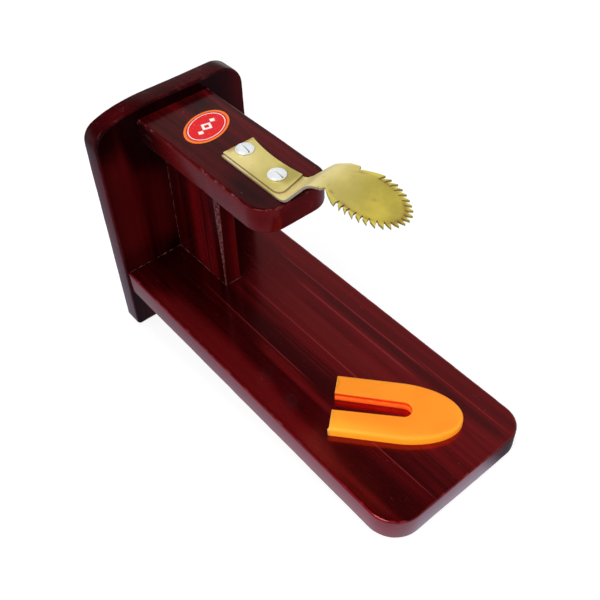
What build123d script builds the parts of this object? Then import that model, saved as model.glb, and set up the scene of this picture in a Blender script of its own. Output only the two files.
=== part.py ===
from build123d import *
import math
import os

# Counter-top coconut scraper: a stained wooden stand that hooks over the edge of a
# counter, with a toothed brass blade bolted to its arm and a slip-on blade guard that
# lies on the base. Millimetres. The origin is on the line where the underside of the
# base meets the lip of the back board, half way across: the place of the counter's
# edge. +X runs along the base to its rounded end, +Z is up.

os.makedirs("parts", exist_ok=True)

# ---- boards ----
base_length = 276.0
base_width = 114.4
base_thickness = 18.0
base_corner_radius = 20.0   # the front corner on the -Y side
base_far_corner_radius = 16.0

back_thickness = 15.5
back_width = 117.6
back_rise = 7.8             # above the arm
lip_depth = 37.2            # below the underside of the base
back_corner_radius = 17.0   # the corner on the +Y side
worn_corner_radius = 14.0   # the corner on the -Y side, sanded flatter towards its top
worn_sweep_radius = 115.0
worn_sweep_angle = 17.0
lip_corner_radius = 3.0

post_depth = 57.8
post_thickness = 13.0
post_height = 101.8
post_offset = -4.1          # along Y
post_chamfer_depth = 3.0    # hand-cut chamfer, widest at the top
post_chamfer_width = 2.2
post_chamfer_foot = 8.0     # where it runs out, above the base

arm_length = 129.8
arm_width = 55.6
arm_thickness = 17.4
arm_offset = 1.6            # along Y
arm_corner_radius = 16.0

edge_round = 1.2            # sanded arris of every board

# ---- wood screws, countersunk, plain in place of threads ----
screw_length = 40.0
screw_radius = 2.0
screw_head_radius = 4.0
screw_head_angle = 90.0
screw_tip_length = 4.0
screw_recess_length = 4.6
screw_recess_width = 1.0
screw_recess_depth = 1.4
screw_clearance = 0.1       # round the shank and past the tip
base_screw_count = 4
base_screw_inset = 14.0     # from the long sides of the base
arm_screw_inset = 12.0      # from the long sides of the arm
post_screw_inset = 14.0     # from the front, the rear and the top of the post
post_screw_gap = 16.0       # between the tips of the upright screws and the level one

# ---- blade ----
sheet = 1.5                 # brass sheet
tang_start = 69.5           # along X
tang_near = 12.4            # blade's centre line to the -Y edge
tang_far = 11.9             # blade's centre line to the +Y edge
tang_waist = 3.0            # the +Y edge draws in by this much at half way
blade_offset = 3.1          # centre line, along Y
neck_near = 12.6
neck_far = 12.9
ramp_foot = 126.0           # along X, where the sheet turns up
ramp_rise = 29.2            # from the tang to the start of the head
ramp_angle = 48.0
ramp_foot_radius = 6.0
ramp_head_radius = 28.0
bend_skew = 14.5            # the bend lines are not quite square to the arm
head_tilt = 3.0             # up to the crest
head_droop = 7.5            # down from the crest
head_crest = 31.0           # from the top of the ramp to the crest
head_crest_radius = 150.0
head_centre = 181.0         # along X
head_offset = 1.4           # head centre beyond the blade's centre line, along Y
head_half_length = 24.3     # to the roots of the teeth
head_half_width = 15.0
tooth_height = 4.1
tooth_count = 21
tooth_arc = 200.0           # degrees of the head that the teeth cover
tooth_lean = 0.75           # of a pitch, at the sides
tang_front_gap = 3.0        # from the end of the tang's +Y edge to the ramp
neck_flare = 3.2            # the +Y edge swells by this much up to its notch
neck_flare_length = 12.0
notch_back = 19.7           # the notches, behind the head's centre
notch_depth = 2.6
notch_length = 1.4
nick_gap = 1.7              # from the -Y notch back to a small nick in the same edge
nick_depth = 1.5
nick_width = 1.0
shoulder_bulge = 0.6        # of the edge between the notch and the first tooth

# ---- cover plate and its two bolts ----
cover_margin = 1.2          # tang seen beside the plate on its -Y edge
cover_gap = 0.6             # from the plate to the foot of the ramp
cover_corner_radius = 5.0
bolt_places = {"rear": (76.3, 3.4), "front": (108.7, 2.3)}
bolt_radius = 3.0
bolt_length = 30.0
bolt_clearance = 0.25
bolt_head_radius = 6.0
bolt_head_height = 2.2
bolt_head_round = 1.3
bolt_slot_width = 1.3
bolt_slot_depth = 1.1
bolt_end_chamfer = 0.6
washer_radius = 6.0
washer_thickness = 1.6
nut_across_flats = 10.0
nut_height = 5.0
nut_corner_cut = 0.45

# ---- oval label ----
label_place = (37.1, 2.6)
label_half_length = 19.1
label_half_width = 13.3
label_turn = 27.0
label_thickness = 0.2

# ---- blade guard ----
guard_place = (188.6, -24.3)
guard_turn = 40.35
guard_length = 79.8
guard_half_width = 21.1
guard_nose = 39.6
guard_thickness = 7.0
guard_round = 1.8
guard_slot_mouth = 6.3      # half widths
guard_slot_end = 5.4
guard_slot_length = 43.3    # of its straight part
guard_wall = 1.6
guard_pocket = 2.6          # height of the pocket that takes the blade
guard_pocket_floor = 2.2

# ---- places that follow from the sizes above ----
post_top = base_thickness + post_height
arm_top = post_top + arm_thickness
back_top = arm_top + back_rise
tang_top = arm_top + sheet
cover_top = tang_top + sheet
head_line = blade_offset + head_offset
tip_half_length = head_half_length + tooth_height
tip_half_width = head_half_width + tooth_height


def prism(outline, low, high):
    """The flat outline in X and Y, as a solid from height low to height high."""
    return Pos(0, 0, low) * extrude(make_face(outline), high - low)


def upright(outline, rear, front):
    """An outline in Y and Z, as a solid from x = rear to x = front."""
    face = Plane.YZ.offset(rear) * make_face(outline)
    return extrude(face, front - rear, dir=(1, 0, 0))


def arris(solid, keep):
    """Rounds the outer edges of a board, apart from those that keep names."""
    edges = [edge for edge in solid.edges() if not keep(edge.center())]
    return fillet(edges, edge_round)


def screw_body(gap):
    """A plain countersunk screw along +Z, drawn out by gap round its shank and tip."""
    head_depth = screw_head_radius - screw_radius - gap
    head_depth = head_depth / math.tan(math.radians(screw_head_angle / 2))
    profile = Polyline(
        (0, 0),
        (screw_head_radius, 0),
        (screw_radius + gap, head_depth),
        (screw_radius + gap, screw_length - screw_tip_length),
        (0, screw_length + gap),
        close=True,
    )
    return revolve(Plane.XZ * make_face(profile), Axis.Z)


def screw():
    """A wood screw pointing along +Z, its cross-slotted head flush with z = 0."""
    bar = Box(screw_recess_length, screw_recess_width, 2 * screw_recess_depth)
    return screw_body(0) - bar - Rot(0, 0, 90) * bar


def screw_frames():
    """Each wood screw's name and the place of its head, as a turn and a shift."""
    level = Rot(0, 90, 0)
    rear = -back_thickness
    frames = {}
    reach = base_width / 2 - base_screw_inset
    for index in range(base_screw_count):
        across = -reach + 2 * reach * index / (base_screw_count - 1)
        frames[f"base_screw_{index + 1}"] = Pos(rear, across, base_thickness / 2) * level
    for name, side in (("near", -1), ("far", 1)):
        across = arm_offset + side * (arm_width / 2 - arm_screw_inset)
        place = Pos(rear, across, post_top + arm_thickness / 2)
        frames[f"arm_screw_{name}"] = place * level
    low = screw_length + post_screw_gap
    high = post_top - post_screw_inset
    for name, height in (("lower", low), ("upper", high)):
        frames[f"post_screw_{name}"] = Pos(rear, post_offset, height) * level
    for name, along in (("rear", post_screw_inset), ("front", post_depth - post_screw_inset)):
        frames[f"foot_screw_{name}"] = Pos(along, post_offset, 0)
    return frames


def screw_holes(*names):
    """The holes of the screws whose names start with one of the given words."""
    return [
        frame * screw_body(screw_clearance)
        for name, frame in screw_frames().items()
        if name.startswith(names)
    ]


def base_board():
    half = base_width / 2
    near_radius = base_corner_radius
    far_radius = base_far_corner_radius
    near_start = (base_length - near_radius, -half)
    near_end = (base_length, -half + near_radius)
    far_start = (base_length, half - far_radius)
    far_end = (base_length - far_radius, half)
    outline = [
        Polyline(far_end, (0, half), (0, -half), near_start),
        RadiusArc(near_start, near_end, -near_radius),
        Line(near_end, far_start),
        RadiusArc(far_start, far_end, -far_radius),
    ]
    board = prism(outline, 0, base_thickness)
    board = arris(board, lambda at: at.X < edge_round or 0.01 < at.Z < base_thickness - 0.01)
    return board - screw_holes("base_screw", "foot_screw")


def back_board():
    half = back_width / 2
    sweep = math.radians(worn_sweep_angle)
    # the -Y corner: a wide sanded sweep, then a tighter round
    corner_end = (
        -half,
        back_top
        - worn_sweep_radius * (1 - math.cos(sweep))
        - worn_corner_radius * math.cos(sweep),
    )
    sweep_end = (
        -half + worn_corner_radius * (1 - math.sin(sweep)),
        back_top - worn_sweep_radius * (1 - math.cos(sweep)),
    )
    sweep_start = (sweep_end[0] + worn_sweep_radius * math.sin(sweep), back_top)
    far = half - back_corner_radius
    drop = back_top - back_corner_radius
    foot = -lip_depth
    foot_turn = -lip_depth + lip_corner_radius
    outline = [
        Line((half - lip_corner_radius, foot), (-half + lip_corner_radius, foot)),
        RadiusArc((-half + lip_corner_radius, foot), (-half, foot_turn), lip_corner_radius),
        Line((-half, foot_turn), corner_end),
        RadiusArc(corner_end, sweep_end, worn_corner_radius),
        RadiusArc(sweep_end, sweep_start, worn_sweep_radius),
        Line(sweep_start, (far, back_top)),
        RadiusArc((far, back_top), (half, drop), back_corner_radius),
        Line((half, drop), (half, foot_turn)),
        RadiusArc((half, foot_turn), (half - lip_corner_radius, foot), lip_corner_radius),
    ]
    board = upright(outline, -back_thickness, 0)
    middle = -back_thickness / 2
    board = arris(board, lambda at: abs(at.X - middle) < back_thickness / 4)
    return board - screw_holes("base_screw", "arm_screw", "post_screw")


def support_post():
    board = Pos(post_depth / 2, post_offset, base_thickness + post_height / 2) * Box(
        post_depth, post_thickness, post_height
    )
    near = post_offset - post_thickness / 2
    foot = base_thickness + post_chamfer_foot
    top = post_top
    wedge = loft(
        [
            make_face(
                Polyline(
                    (post_depth - post_chamfer_depth, near, top),
                    (post_depth, near + post_chamfer_width, top),
                    (post_depth, near, top),
                    close=True,
                )
            ),
            Vertex(post_depth, near, foot),
        ]
    )
    return board - wedge - screw_holes("post_screw", "foot_screw")


def arm_board():
    half = arm_width / 2
    low = arm_offset - half
    high = arm_offset + half
    radius = arm_corner_radius
    turn = arm_length - radius
    outline = [
        Polyline((turn, high), (0, high), (0, low), (turn, low)),
        RadiusArc((turn, low), (arm_length, low + radius), -radius),
        Line((arm_length, low + radius), (arm_length, high - radius)),
        RadiusArc((arm_length, high - radius), (turn, high), -radius),
    ]
    board = prism(outline, post_top, arm_top)
    board = arris(board, lambda at: at.X < edge_round or post_top < at.Z - 0.01 < arm_top - 0.02)
    return board - screw_holes("arm_screw") - bolt_holes(post_top, arm_top)


def bolt_holes(low, high):
    """Clearance holes for both blade bolts, from height low to height high."""
    radius = bolt_radius + bolt_clearance
    middle = (low + high) / 2
    return [
        Pos(along, across, middle) * Cylinder(radius, high - low)
        for along, across in bolt_places.values()
    ]


def tooth_tip(angle):
    """The place of a tooth's point, angle in degrees from the head's end."""
    turn = math.radians(angle)
    return (
        head_centre + tip_half_length * math.cos(turn),
        head_line + tip_half_width * math.sin(turn),
    )


def tooth_root(angle):
    """The gullet behind angle. At the sides it slips back, so the teeth lean forward."""
    pitch = tooth_arc / (tooth_count - 1)
    lean = tooth_lean * pitch * math.sin(math.radians(angle)) ** 2
    turn = math.radians(angle + math.copysign(lean, angle))
    return (
        head_centre + head_half_length * math.cos(turn),
        head_line + head_half_width * math.sin(turn),
    )


def tooth_points():
    """The saw edge of the head, from the first tooth at -Y round to the last at +Y."""
    pitch = tooth_arc / (tooth_count - 1)
    points = []
    for index in range(tooth_count):
        angle = -tooth_arc / 2 + pitch * index
        points.append(tooth_tip(angle))
        if index < tooth_count - 1:
            points.append(tooth_root(angle + pitch / 2))
    return points


def far_tang_edge(end):
    """The wavy +Y edge of the tang, as an arc from its rear corner to x = end."""
    edge = blade_offset + tang_far
    start = (tang_start, edge)
    middle = ((tang_start + end) / 2, edge - tang_waist)
    return ThreePointArc(start, middle, (end, edge))


def shoulder(notch, tip, side):
    """The bulged edge from the notch behind the head to the first tooth."""
    middle = ((notch[0] + tip[0]) / 2, (notch[1] + tip[1]) / 2)
    length = math.dist(notch, tip)
    across = (-(tip[1] - notch[1]) / length, (tip[0] - notch[0]) / length)
    bulge = side * shoulder_bulge
    middle = (middle[0] + bulge * across[0], middle[1] + bulge * across[1])
    return ThreePointArc(notch, middle, tip)


def blade_outline():
    """The blade seen from above: tang, neck, notches and toothed head."""
    teeth = tooth_points()
    near_tip, far_tip = teeth[0], teeth[-1]
    near = blade_offset - neck_near
    far = blade_offset + neck_far
    tang_edge = blade_offset + tang_far
    tang_end = ramp_foot - tang_front_gap
    notch = head_centre - notch_back
    flare = far + neck_flare
    far_notch = (notch + notch_length, flare - notch_depth)
    near_notch = (notch + notch_length / 2, near + notch_depth)
    nick = notch - nick_gap
    return [
        far_tang_edge(tang_end),
        Polyline(
            (tang_end, tang_edge),
            (ramp_foot, far),
            (notch - neck_flare_length, far),
            (notch - neck_flare_length / 2, far + 0.6 * neck_flare),
            (notch, flare),
            far_notch,
        ),
        shoulder(far_notch, far_tip, 1),
        Polyline(*reversed(teeth)),
        shoulder(near_notch, near_tip, -1),
        Polyline(
            near_notch,
            (notch - notch_length / 2, near),
            (nick, near),
            (nick - nick_width / 2, near + nick_depth),
            (nick - nick_width, near),
            (ramp_foot, near),
            (tang_start, blade_offset - tang_near),
            (tang_start, tang_edge),
        ),
    ]


def blade_profile():
    """The bent sheet from the side, in X and Z: tang, ramp and crested head."""
    turns = [0.0, ramp_angle, head_tilt, -head_droop]
    slope = math.tan(math.radians(ramp_angle))
    ramp_end = ramp_foot + ramp_rise / slope
    crest = (
        ramp_end + head_crest,
        arm_top + ramp_rise + head_crest * math.tan(math.radians(head_tilt)),
    )
    end = head_centre + tip_half_length + tooth_height
    line = [
        (tang_start - tooth_height, arm_top),
        (ramp_foot, arm_top),
        (ramp_end, arm_top + ramp_rise),
        crest,
        (end, crest[1] - (end - crest[0]) * math.tan(math.radians(head_droop))),
    ]
    upper = [(line[0][0], line[0][1] + sheet)]
    for index in (1, 2, 3):
        before = math.radians(turns[index - 1])
        after = math.radians(turns[index])
        lean = (before + after) / 2
        reach = sheet / math.cos((after - before) / 2)
        upper.append(
            (line[index][0] - reach * math.sin(lean), line[index][1] + reach * math.cos(lean))
        )
    upper.append((line[4][0], line[4][1] + sheet))
    outer = ramp_foot_radius + sheet
    low = FilletPolyline(*line, radius=[outer, ramp_head_radius, head_crest_radius])
    outer = (ramp_foot_radius, ramp_head_radius + sheet, head_crest_radius + sheet)
    high = FilletPolyline(*upper, radius=list(outer))
    return make_face([low, Line(line[0], upper[0]), high, Line(line[4], upper[4])])


def scraper_blade():
    profile = Pos(0, blade_offset, 0) * (Plane.XZ * blade_profile())
    skew = math.radians(bend_skew)
    across = Vector(math.sin(skew), -math.cos(skew), 0)
    reach = 2 * tip_half_width
    band = extrude(profile, reach, dir=across) + extrude(profile, reach, dir=-across)
    shape = prism(blade_outline(), arm_top - sheet, arm_top + 2 * ramp_rise)
    return (band & shape) - bolt_holes(arm_top - sheet, tang_top + sheet)


def blade_cover_plate():
    skew = math.tan(math.radians(bend_skew))
    tangent = ramp_foot_radius * math.tan(math.radians(ramp_angle / 2))
    front = ramp_foot - tangent - cover_gap - sheet
    near = blade_offset - tang_near + cover_margin
    far = blade_offset + tang_far
    front_near = (front + (blade_offset - near) * skew, near)
    front_far = (front - (far - blade_offset) * skew, far)
    outline = [
        far_tang_edge(front_far[0]),
        Polyline(front_far, front_near, (tang_start, near), (tang_start, far)),
    ]
    plate = prism(outline, tang_top, cover_top)
    corner = (
        plate.edges()
        .filter_by(Axis.Z)
        .sort_by_distance(Vector(front_near[0], front_near[1], tang_top))[0]
    )
    plate = fillet(corner, cover_corner_radius)
    return plate - bolt_holes(tang_top, cover_top)


def blade_bolt(place):
    """A slotted pan-head bolt, its head on the cover plate and its slot along X."""
    head = Cylinder(bolt_head_radius, bolt_head_height)
    rim = head.edges().filter_by(GeomType.CIRCLE).sort_by(Axis.Z)[-1]
    head = Pos(0, 0, cover_top + bolt_head_height / 2) * fillet(rim, bolt_head_round)
    slot = Box(3 * bolt_head_radius, bolt_slot_width, 2 * bolt_slot_depth)
    head = head - Pos(0, 0, cover_top + bolt_head_height) * slot
    shank = Cylinder(bolt_radius, bolt_length)
    end = shank.edges().filter_by(GeomType.CIRCLE).sort_by(Axis.Z)[0]
    shank = Pos(0, 0, cover_top - bolt_length / 2) * chamfer(end, bolt_end_chamfer)
    return Pos(place[0], place[1], 0) * (head + shank)


def blade_washer(place):
    ring = Cylinder(washer_radius, washer_thickness)
    ring = ring - Cylinder(bolt_radius + bolt_clearance, washer_thickness)
    return Pos(place[0], place[1], post_top - washer_thickness / 2) * ring


def blade_nut(place):
    corner_radius = nut_across_flats / math.sqrt(3)
    hexagon = extrude(RegularPolygon(corner_radius, 6), nut_height)
    round_bar = Pos(0, 0, nut_height / 2) * Cylinder(corner_radius, nut_height)
    rims = round_bar.edges().filter_by(GeomType.CIRCLE)
    nut = hexagon & chamfer(rims, nut_corner_cut)
    bore = Cylinder(bolt_radius + bolt_clearance / 2, 3 * nut_height)
    top = post_top - washer_thickness
    return Pos(place[0], place[1], top - nut_height) * (nut - bore)


def oval_label():
    oval = extrude(Ellipse(label_half_width, label_half_length), label_thickness)
    return Pos(label_place[0], label_place[1], arm_top) * Rot(0, 0, label_turn) * oval


def guard_outline(inset):
    """The guard's U-shaped outside, drawn in by inset, with its open end at x = 0."""
    half = guard_half_width - inset
    straight = guard_length - guard_nose
    nose = guard_nose - inset
    return [
        Polyline((straight, half), (0, half), (0, -half), (straight, -half)),
        EllipticalCenterArc((straight, 0), nose, half, start_angle=-90, arc_size=180),
    ]


def blade_guard():
    block = prism(guard_outline(0), 0, guard_thickness)
    open_end = guard_round / 2
    edges = [
        edge
        for edge in block.edges()
        if edge.center().Z > guard_thickness - 0.01 and edge.center().X > open_end
    ]
    block = fillet(edges, guard_round)
    slot = [
        Polyline(
            (guard_slot_length, guard_slot_end),
            (-guard_wall, guard_slot_mouth),
            (-guard_wall, -guard_slot_mouth),
            (guard_slot_length, -guard_slot_end),
        ),
        ThreePointArc(
            (guard_slot_length, -guard_slot_end),
            (guard_slot_length + guard_slot_end, 0),
            (guard_slot_length, guard_slot_end),
        ),
    ]
    ceiling = guard_pocket_floor + guard_pocket
    pocket = prism(guard_outline(guard_wall), guard_pocket_floor, ceiling)
    guard = block - prism(slot, 0, guard_thickness) - pocket
    place = Pos(guard_place[0], guard_place[1], base_thickness)
    return place * Rot(0, 0, guard_turn) * guard


def every_part():
    parts = {
        "base_board": base_board(),
        "back_board": back_board(),
        "support_post": support_post(),
        "arm_board": arm_board(),
        "scraper_blade": scraper_blade(),
        "blade_cover_plate": blade_cover_plate(),
        "oval_label": oval_label(),
        "blade_guard": blade_guard(),
    }
    for name, place in bolt_places.items():
        parts[f"{name}_blade_bolt"] = blade_bolt(place)
        parts[f"{name}_blade_washer"] = blade_washer(place)
        parts[f"{name}_blade_nut"] = blade_nut(place)
    for name, frame in screw_frames().items():
        parts[name] = frame * screw()
    return parts


for node, shape in every_part().items():
    export_step(shape, f"parts/{node}.step")
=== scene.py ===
# %% [markdown]
# # A counter-top coconut scraper
#
# The real object is a small stand of stained and lacquered wood. Its back board hooks over
# the edge of a counter, a post carries a short arm, and a toothed brass blade is bolted to
# the arm. An orange blade guard lies on the base. The measured model comes first: it is
# loaded as a frame that says where everything is, and each piece below is built round it.

# %% Load the measured frame
import math
import random

import bmesh
import bpy
from mathutils import Matrix, Vector, noise
from mathutils.geometry import delaunay_2d_cdt


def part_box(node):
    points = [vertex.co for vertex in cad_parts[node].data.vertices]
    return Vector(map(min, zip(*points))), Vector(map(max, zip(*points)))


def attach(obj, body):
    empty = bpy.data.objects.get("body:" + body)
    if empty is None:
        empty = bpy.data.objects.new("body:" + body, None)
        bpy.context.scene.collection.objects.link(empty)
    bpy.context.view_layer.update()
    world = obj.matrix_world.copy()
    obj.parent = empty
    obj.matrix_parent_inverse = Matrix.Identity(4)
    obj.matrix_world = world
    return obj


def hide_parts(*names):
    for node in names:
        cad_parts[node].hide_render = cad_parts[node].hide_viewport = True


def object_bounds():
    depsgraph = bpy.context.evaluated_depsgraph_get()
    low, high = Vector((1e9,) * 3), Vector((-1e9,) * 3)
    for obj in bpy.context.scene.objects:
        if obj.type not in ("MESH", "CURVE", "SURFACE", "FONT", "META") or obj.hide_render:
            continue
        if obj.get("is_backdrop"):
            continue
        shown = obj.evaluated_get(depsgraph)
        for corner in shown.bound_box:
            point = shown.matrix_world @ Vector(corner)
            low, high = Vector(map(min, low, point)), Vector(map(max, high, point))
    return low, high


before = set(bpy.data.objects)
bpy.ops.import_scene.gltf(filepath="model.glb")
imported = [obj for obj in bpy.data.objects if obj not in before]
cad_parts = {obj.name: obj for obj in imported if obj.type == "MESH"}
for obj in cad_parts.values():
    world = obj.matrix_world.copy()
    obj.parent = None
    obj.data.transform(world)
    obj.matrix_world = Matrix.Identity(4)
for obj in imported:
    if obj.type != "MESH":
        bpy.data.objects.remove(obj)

cad_low, cad_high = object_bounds()


def in_mm(low, high):
    """The three sides of a box in metres, as millimetres."""
    return [round(1000 * (end - start), 1) for start, end in zip(low, high)]


def show(name, data):
    """Puts a mesh, camera or lamp into the scene as an object."""
    made = bpy.data.objects.new(name, data)
    bpy.context.scene.collection.objects.link(made)
    return made


print("nodes:", len(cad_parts), "box:", in_mm(cad_low, cad_high))

# %% [markdown]
# ## The camera
#
# The picture looks down on the stand from its front, about 46 degrees above the base. The
# three directions below were found by matching the corners of the boards to the picture.
# A camera looks along its own -Z, so its matrix has right, up and back as its columns.

# %% Camera
look = Vector((-0.53806, 0.42852, -0.72585)).normalized()
right = Vector((0.64388, 0.76469, -0.02584)).normalized()
up = right.cross(look).normalized()

lens = bpy.data.cameras.new("camera")
lens.lens = 49.39
lens.sensor_width = 36
camera = show("camera", lens)
turn = Matrix((right, up, -look)).transposed().to_4x4()
turn.translation = Vector((0.41575, -0.22863, 0.43881))
camera.matrix_world = turn
bpy.context.scene.camera = camera
print("camera looks down by", round(math.degrees(math.asin(-look.z)), 1), "degrees")

# %% [markdown]
# ## Shader sums as plain Python
#
# A finish is worked out from noise patterns, and the sums between them are easier to read
# as Python than as a chain of nodes. A Wire holds one output of a node. Adding or
# multiplying wires adds the Math node that does it. A Finish is a material with one method
# that adds any node at all.


# %% A wire that does sums
class Wire:
    """One number or colour on its way through a material."""

    def __init__(self, finish, socket):
        self.finish = finish
        self.socket = socket

    def sum(self, operation, first, second):
        return self.finish.add("ShaderNodeMath", {0: first, 1: second}, operation=operation)

    def __add__(self, other):
        return self.sum("ADD", self, other)

    def __radd__(self, other):
        return self.sum("ADD", other, self)

    def __sub__(self, other):
        return self.sum("SUBTRACT", self, other)

    def __rsub__(self, other):
        return self.sum("SUBTRACT", other, self)

    def __mul__(self, other):
        return self.sum("MULTIPLY", self, other)

    def __rmul__(self, other):
        return self.sum("MULTIPLY", other, self)

    def __pow__(self, other):
        return self.sum("POWER", self, other)

    def __abs__(self):
        return self.sum("ABSOLUTE", self, 0.0)

    def ramp(self, start, end):
        """0 below start, 1 above end and a smooth rise between them. It falls if end < start."""
        low, high = (0.0, 1.0) if start < end else (1.0, 0.0)
        sockets = {
            "Value": self,
            "From Min": min(start, end),
            "From Max": max(start, end),
            "To Min": low,
            "To Max": high,
        }
        return self.finish.add("ShaderNodeMapRange", sockets, interpolation_type="SMOOTHSTEP")


# %% A finish and its one method for nodes
class Finish:
    """A material, its Principled shader, and add() for every other node."""

    def __init__(self, name, **constants):
        self.material = bpy.data.materials.new(name)
        self.material.use_nodes = True
        self.tree = self.material.node_tree
        self.shader = self.tree.nodes["Principled BSDF"]
        for socket, value in constants.items():
            self.set(self.shader, socket.replace("_", " "), value)

    def set(self, node, socket, value):
        target = node.inputs[socket]
        if isinstance(value, Wire):
            self.tree.links.new(value.socket, target)
        elif target.type == "RGBA" and len(value) == 3:
            target.default_value = (*value, 1.0)
        else:
            target.default_value = value

    def add(self, kind, sockets=None, output=0, stops=None, **settings):
        node = self.tree.nodes.new(kind)
        for setting, value in settings.items():
            setattr(node, setting, value)
        if stops:
            elements = node.color_ramp.elements
            while len(elements) < len(stops):
                elements.new(0.5)
            for element, (place, colour) in zip(elements, stops):
                element.position = place
                element.color = (*colour, 1.0)
        for socket, value in (sockets or {}).items():
            self.set(node, socket, value)
        return Wire(self, node.outputs[output])

    def place(self, scale=(1, 1, 1), turn=(0, 0, 0), move=(0, 0, 0)):
        """Object coordinates, moved, turned and scaled."""
        here = self.add("ShaderNodeTexCoord", output="Object")
        there = {"Vector": here, "Location": move, "Rotation": turn}
        turned = self.add("ShaderNodeMapping", there, vector_type="TEXTURE")
        return self.add("ShaderNodeMapping", {"Vector": turned, "Scale": scale})

    def parts(self, place):
        """The x, y and z of a place."""
        return [self.add("ShaderNodeSeparateXYZ", {0: place}, output=k) for k in range(3)]

    def noise(self, place, scale=1.0, detail=2.0, rough=0.5):
        sockets = {"Vector": place, "Scale": scale, "Detail": detail, "Roughness": rough}
        return self.add("ShaderNodeTexNoise", sockets)

    def mix(self, amount, first, second, way="MIX"):
        """The two colours mixed, or laid over each other in the given way."""
        node = self.tree.nodes.new("ShaderNodeMix")
        node.data_type = "RGBA"
        node.blend_type = way
        node.clamp_factor = True
        for socket, value in ((0, amount), (6, first), (7, second)):
            self.set(node, socket, value)
        return Wire(self, node.outputs[2])

    def mark(self, name):
        """A number that the mesh carries at its points."""
        return self.add("ShaderNodeAttribute", output="Fac", attribute_name=name)

    def bump(self, height, strength, distance, under=None):
        sockets = {"Height": height, "Strength": strength, "Distance": distance}
        if under is not None:
            sockets["Normal"] = under
        return self.add("ShaderNodeBump", sockets)

    def wear(self, **wires):
        """Sends wires to the shader's sockets, and gives back the material."""
        for socket, value in wires.items():
            self.set(self.shader, socket.replace("_", " "), value)
        return self.material


# %% [markdown]
# ## Stained wood
#
# Every board is a pale softwood under a dark maroon stain and a clear lacquer. The stain
# sinks into the soft part of each growth ring and leaves the hard part redder, which gives
# long streaks from near black to red. Noise that is stretched along the grain gives such
# streaks: broad bands, finer ones, thin pale veins, and short dark pores that also dent
# the surface. The grain runs along X in the base and the arm, and upright in the back
# board and the post.
#
# The streaks that catch the eye in the picture are laid over that noise one by one. Last
# come mottled side walls, a painted sheen on the side walls, painted shade in the inner
# corners and rubbed, paler edges. Where all of these lie and how strong they are was chosen
# to match the picture, and so was the gloss of each board. Whether the real corners are
# dark from stain or from shadow isn't known.


# %% Stained wood
def stained_wood(name, upright=False, seed=0.0, depth=0.0, gloss=2.7):
    """The grain. A lower depth is a darker stain, and gloss is the IOR under the lacquer."""
    wood = Finish(name, IOR=gloss, Specular_Tint=(1.0, 0.02, 0.03), Coat_Roughness=0.12, Coat_IOR=1.5)
    turn = (0, math.radians(90), 0) if upright else (0, 0, 0)
    move = (seed * 0.37, seed * 0.11, seed * 0.07)
    still = wood.place(turn=turn, move=move)
    sway = wood.noise(wood.place((4, 13, 13), turn, move), 1.0, 1.0) - 0.5
    shift = wood.add("ShaderNodeCombineXYZ", {0: 0.0, 1: sway * 0.010, 2: sway * 0.008})
    bent = wood.add("ShaderNodeVectorMath", {0: still, 1: shift}, operation="ADD")

    def grain(scale, detail=2.0, rough=0.5):
        stretched = wood.add("ShaderNodeMapping", {"Vector": bent, "Scale": scale})
        return wood.noise(stretched, 1.0, detail, rough)

    broad = grain((1.6, 30, 30))
    band = grain((2.6, 105, 105))
    fine = grain((7, 360, 360))
    figure = grain((0.5, 14, 14), 1.0) * 22 + fine * 0.10
    ring = wood.add("ShaderNodeMath", {0: figure}, operation="FRACT")
    shown = grain((4, 24, 24), 1.0).ramp(0.42, 0.66)
    late = ring.ramp(0.45, 1.0) * shown
    tone = broad * 0.50 + band * 0.30 + fine * 0.20 + depth - late * 0.07
    colour = wood.add(
        "ShaderNodeValToRGB",
        {"Fac": tone},
        stops=[
            (0.36, (0.0060, 0.0003, 0.0006)),
            (0.44, (0.021, 0.0004, 0.0009)),
            (0.50, (0.047, 0.0008, 0.0016)),
            (0.56, (0.072, 0.0016, 0.0028)),
            (0.66, (0.110, 0.0060, 0.0080)),
        ],
    )
    early = ring.ramp(0.075, 0.0) * shown
    colour = wood.mix(early * 0.25, colour, (0.19, 0.020, 0.024))
    pore = grain((60, 1300, 1300), 1.0).ramp(0.66, 0.76)
    colour = wood.mix(pore * 0.5, colour, (0.004, 0.0004, 0.0008))
    wood.x, wood.y, wood.z = wood.parts(wood.place())
    wood.still, wood.sway, wood.fine, wood.broad, wood.pore = still, sway, fine, broad, pore
    wood.colour, wood.wall = colour, wood.mark("wall")
    wood.relief = band * 0.5 + fine * 0.6 - pore * 0.9
    return wood


# %% Streaks that are placed by eye
def streak(wood, run, across, start, end, middle, half, tint, strength, sharp=0.0):
    """One long streak. Its edge is sharp on the side that the sign of sharp names."""
    off = across - middle + wood.sway * 0.006 + (wood.fine - 0.5) * 0.0012
    if sharp > 0:
        body = off.ramp(half, 0.7 * half) * off.ramp(-2 * half, half * 0.6)
    elif sharp < 0:
        body = off.ramp(-half, -0.7 * half) * off.ramp(2 * half, -half * 0.6)
    else:
        body = abs(off).ramp(half, 0.0)
    body = body * run.ramp(start - 0.012, start + 0.012) * run.ramp(end + 0.012, end - 0.02)
    wood.colour = wood.mix(body * (wood.broad + 0.35) * strength, wood.colour, tint)


def streaks(wood, run, across, *rows):
    for row in rows:
        streak(wood, run, across, *row)


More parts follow.
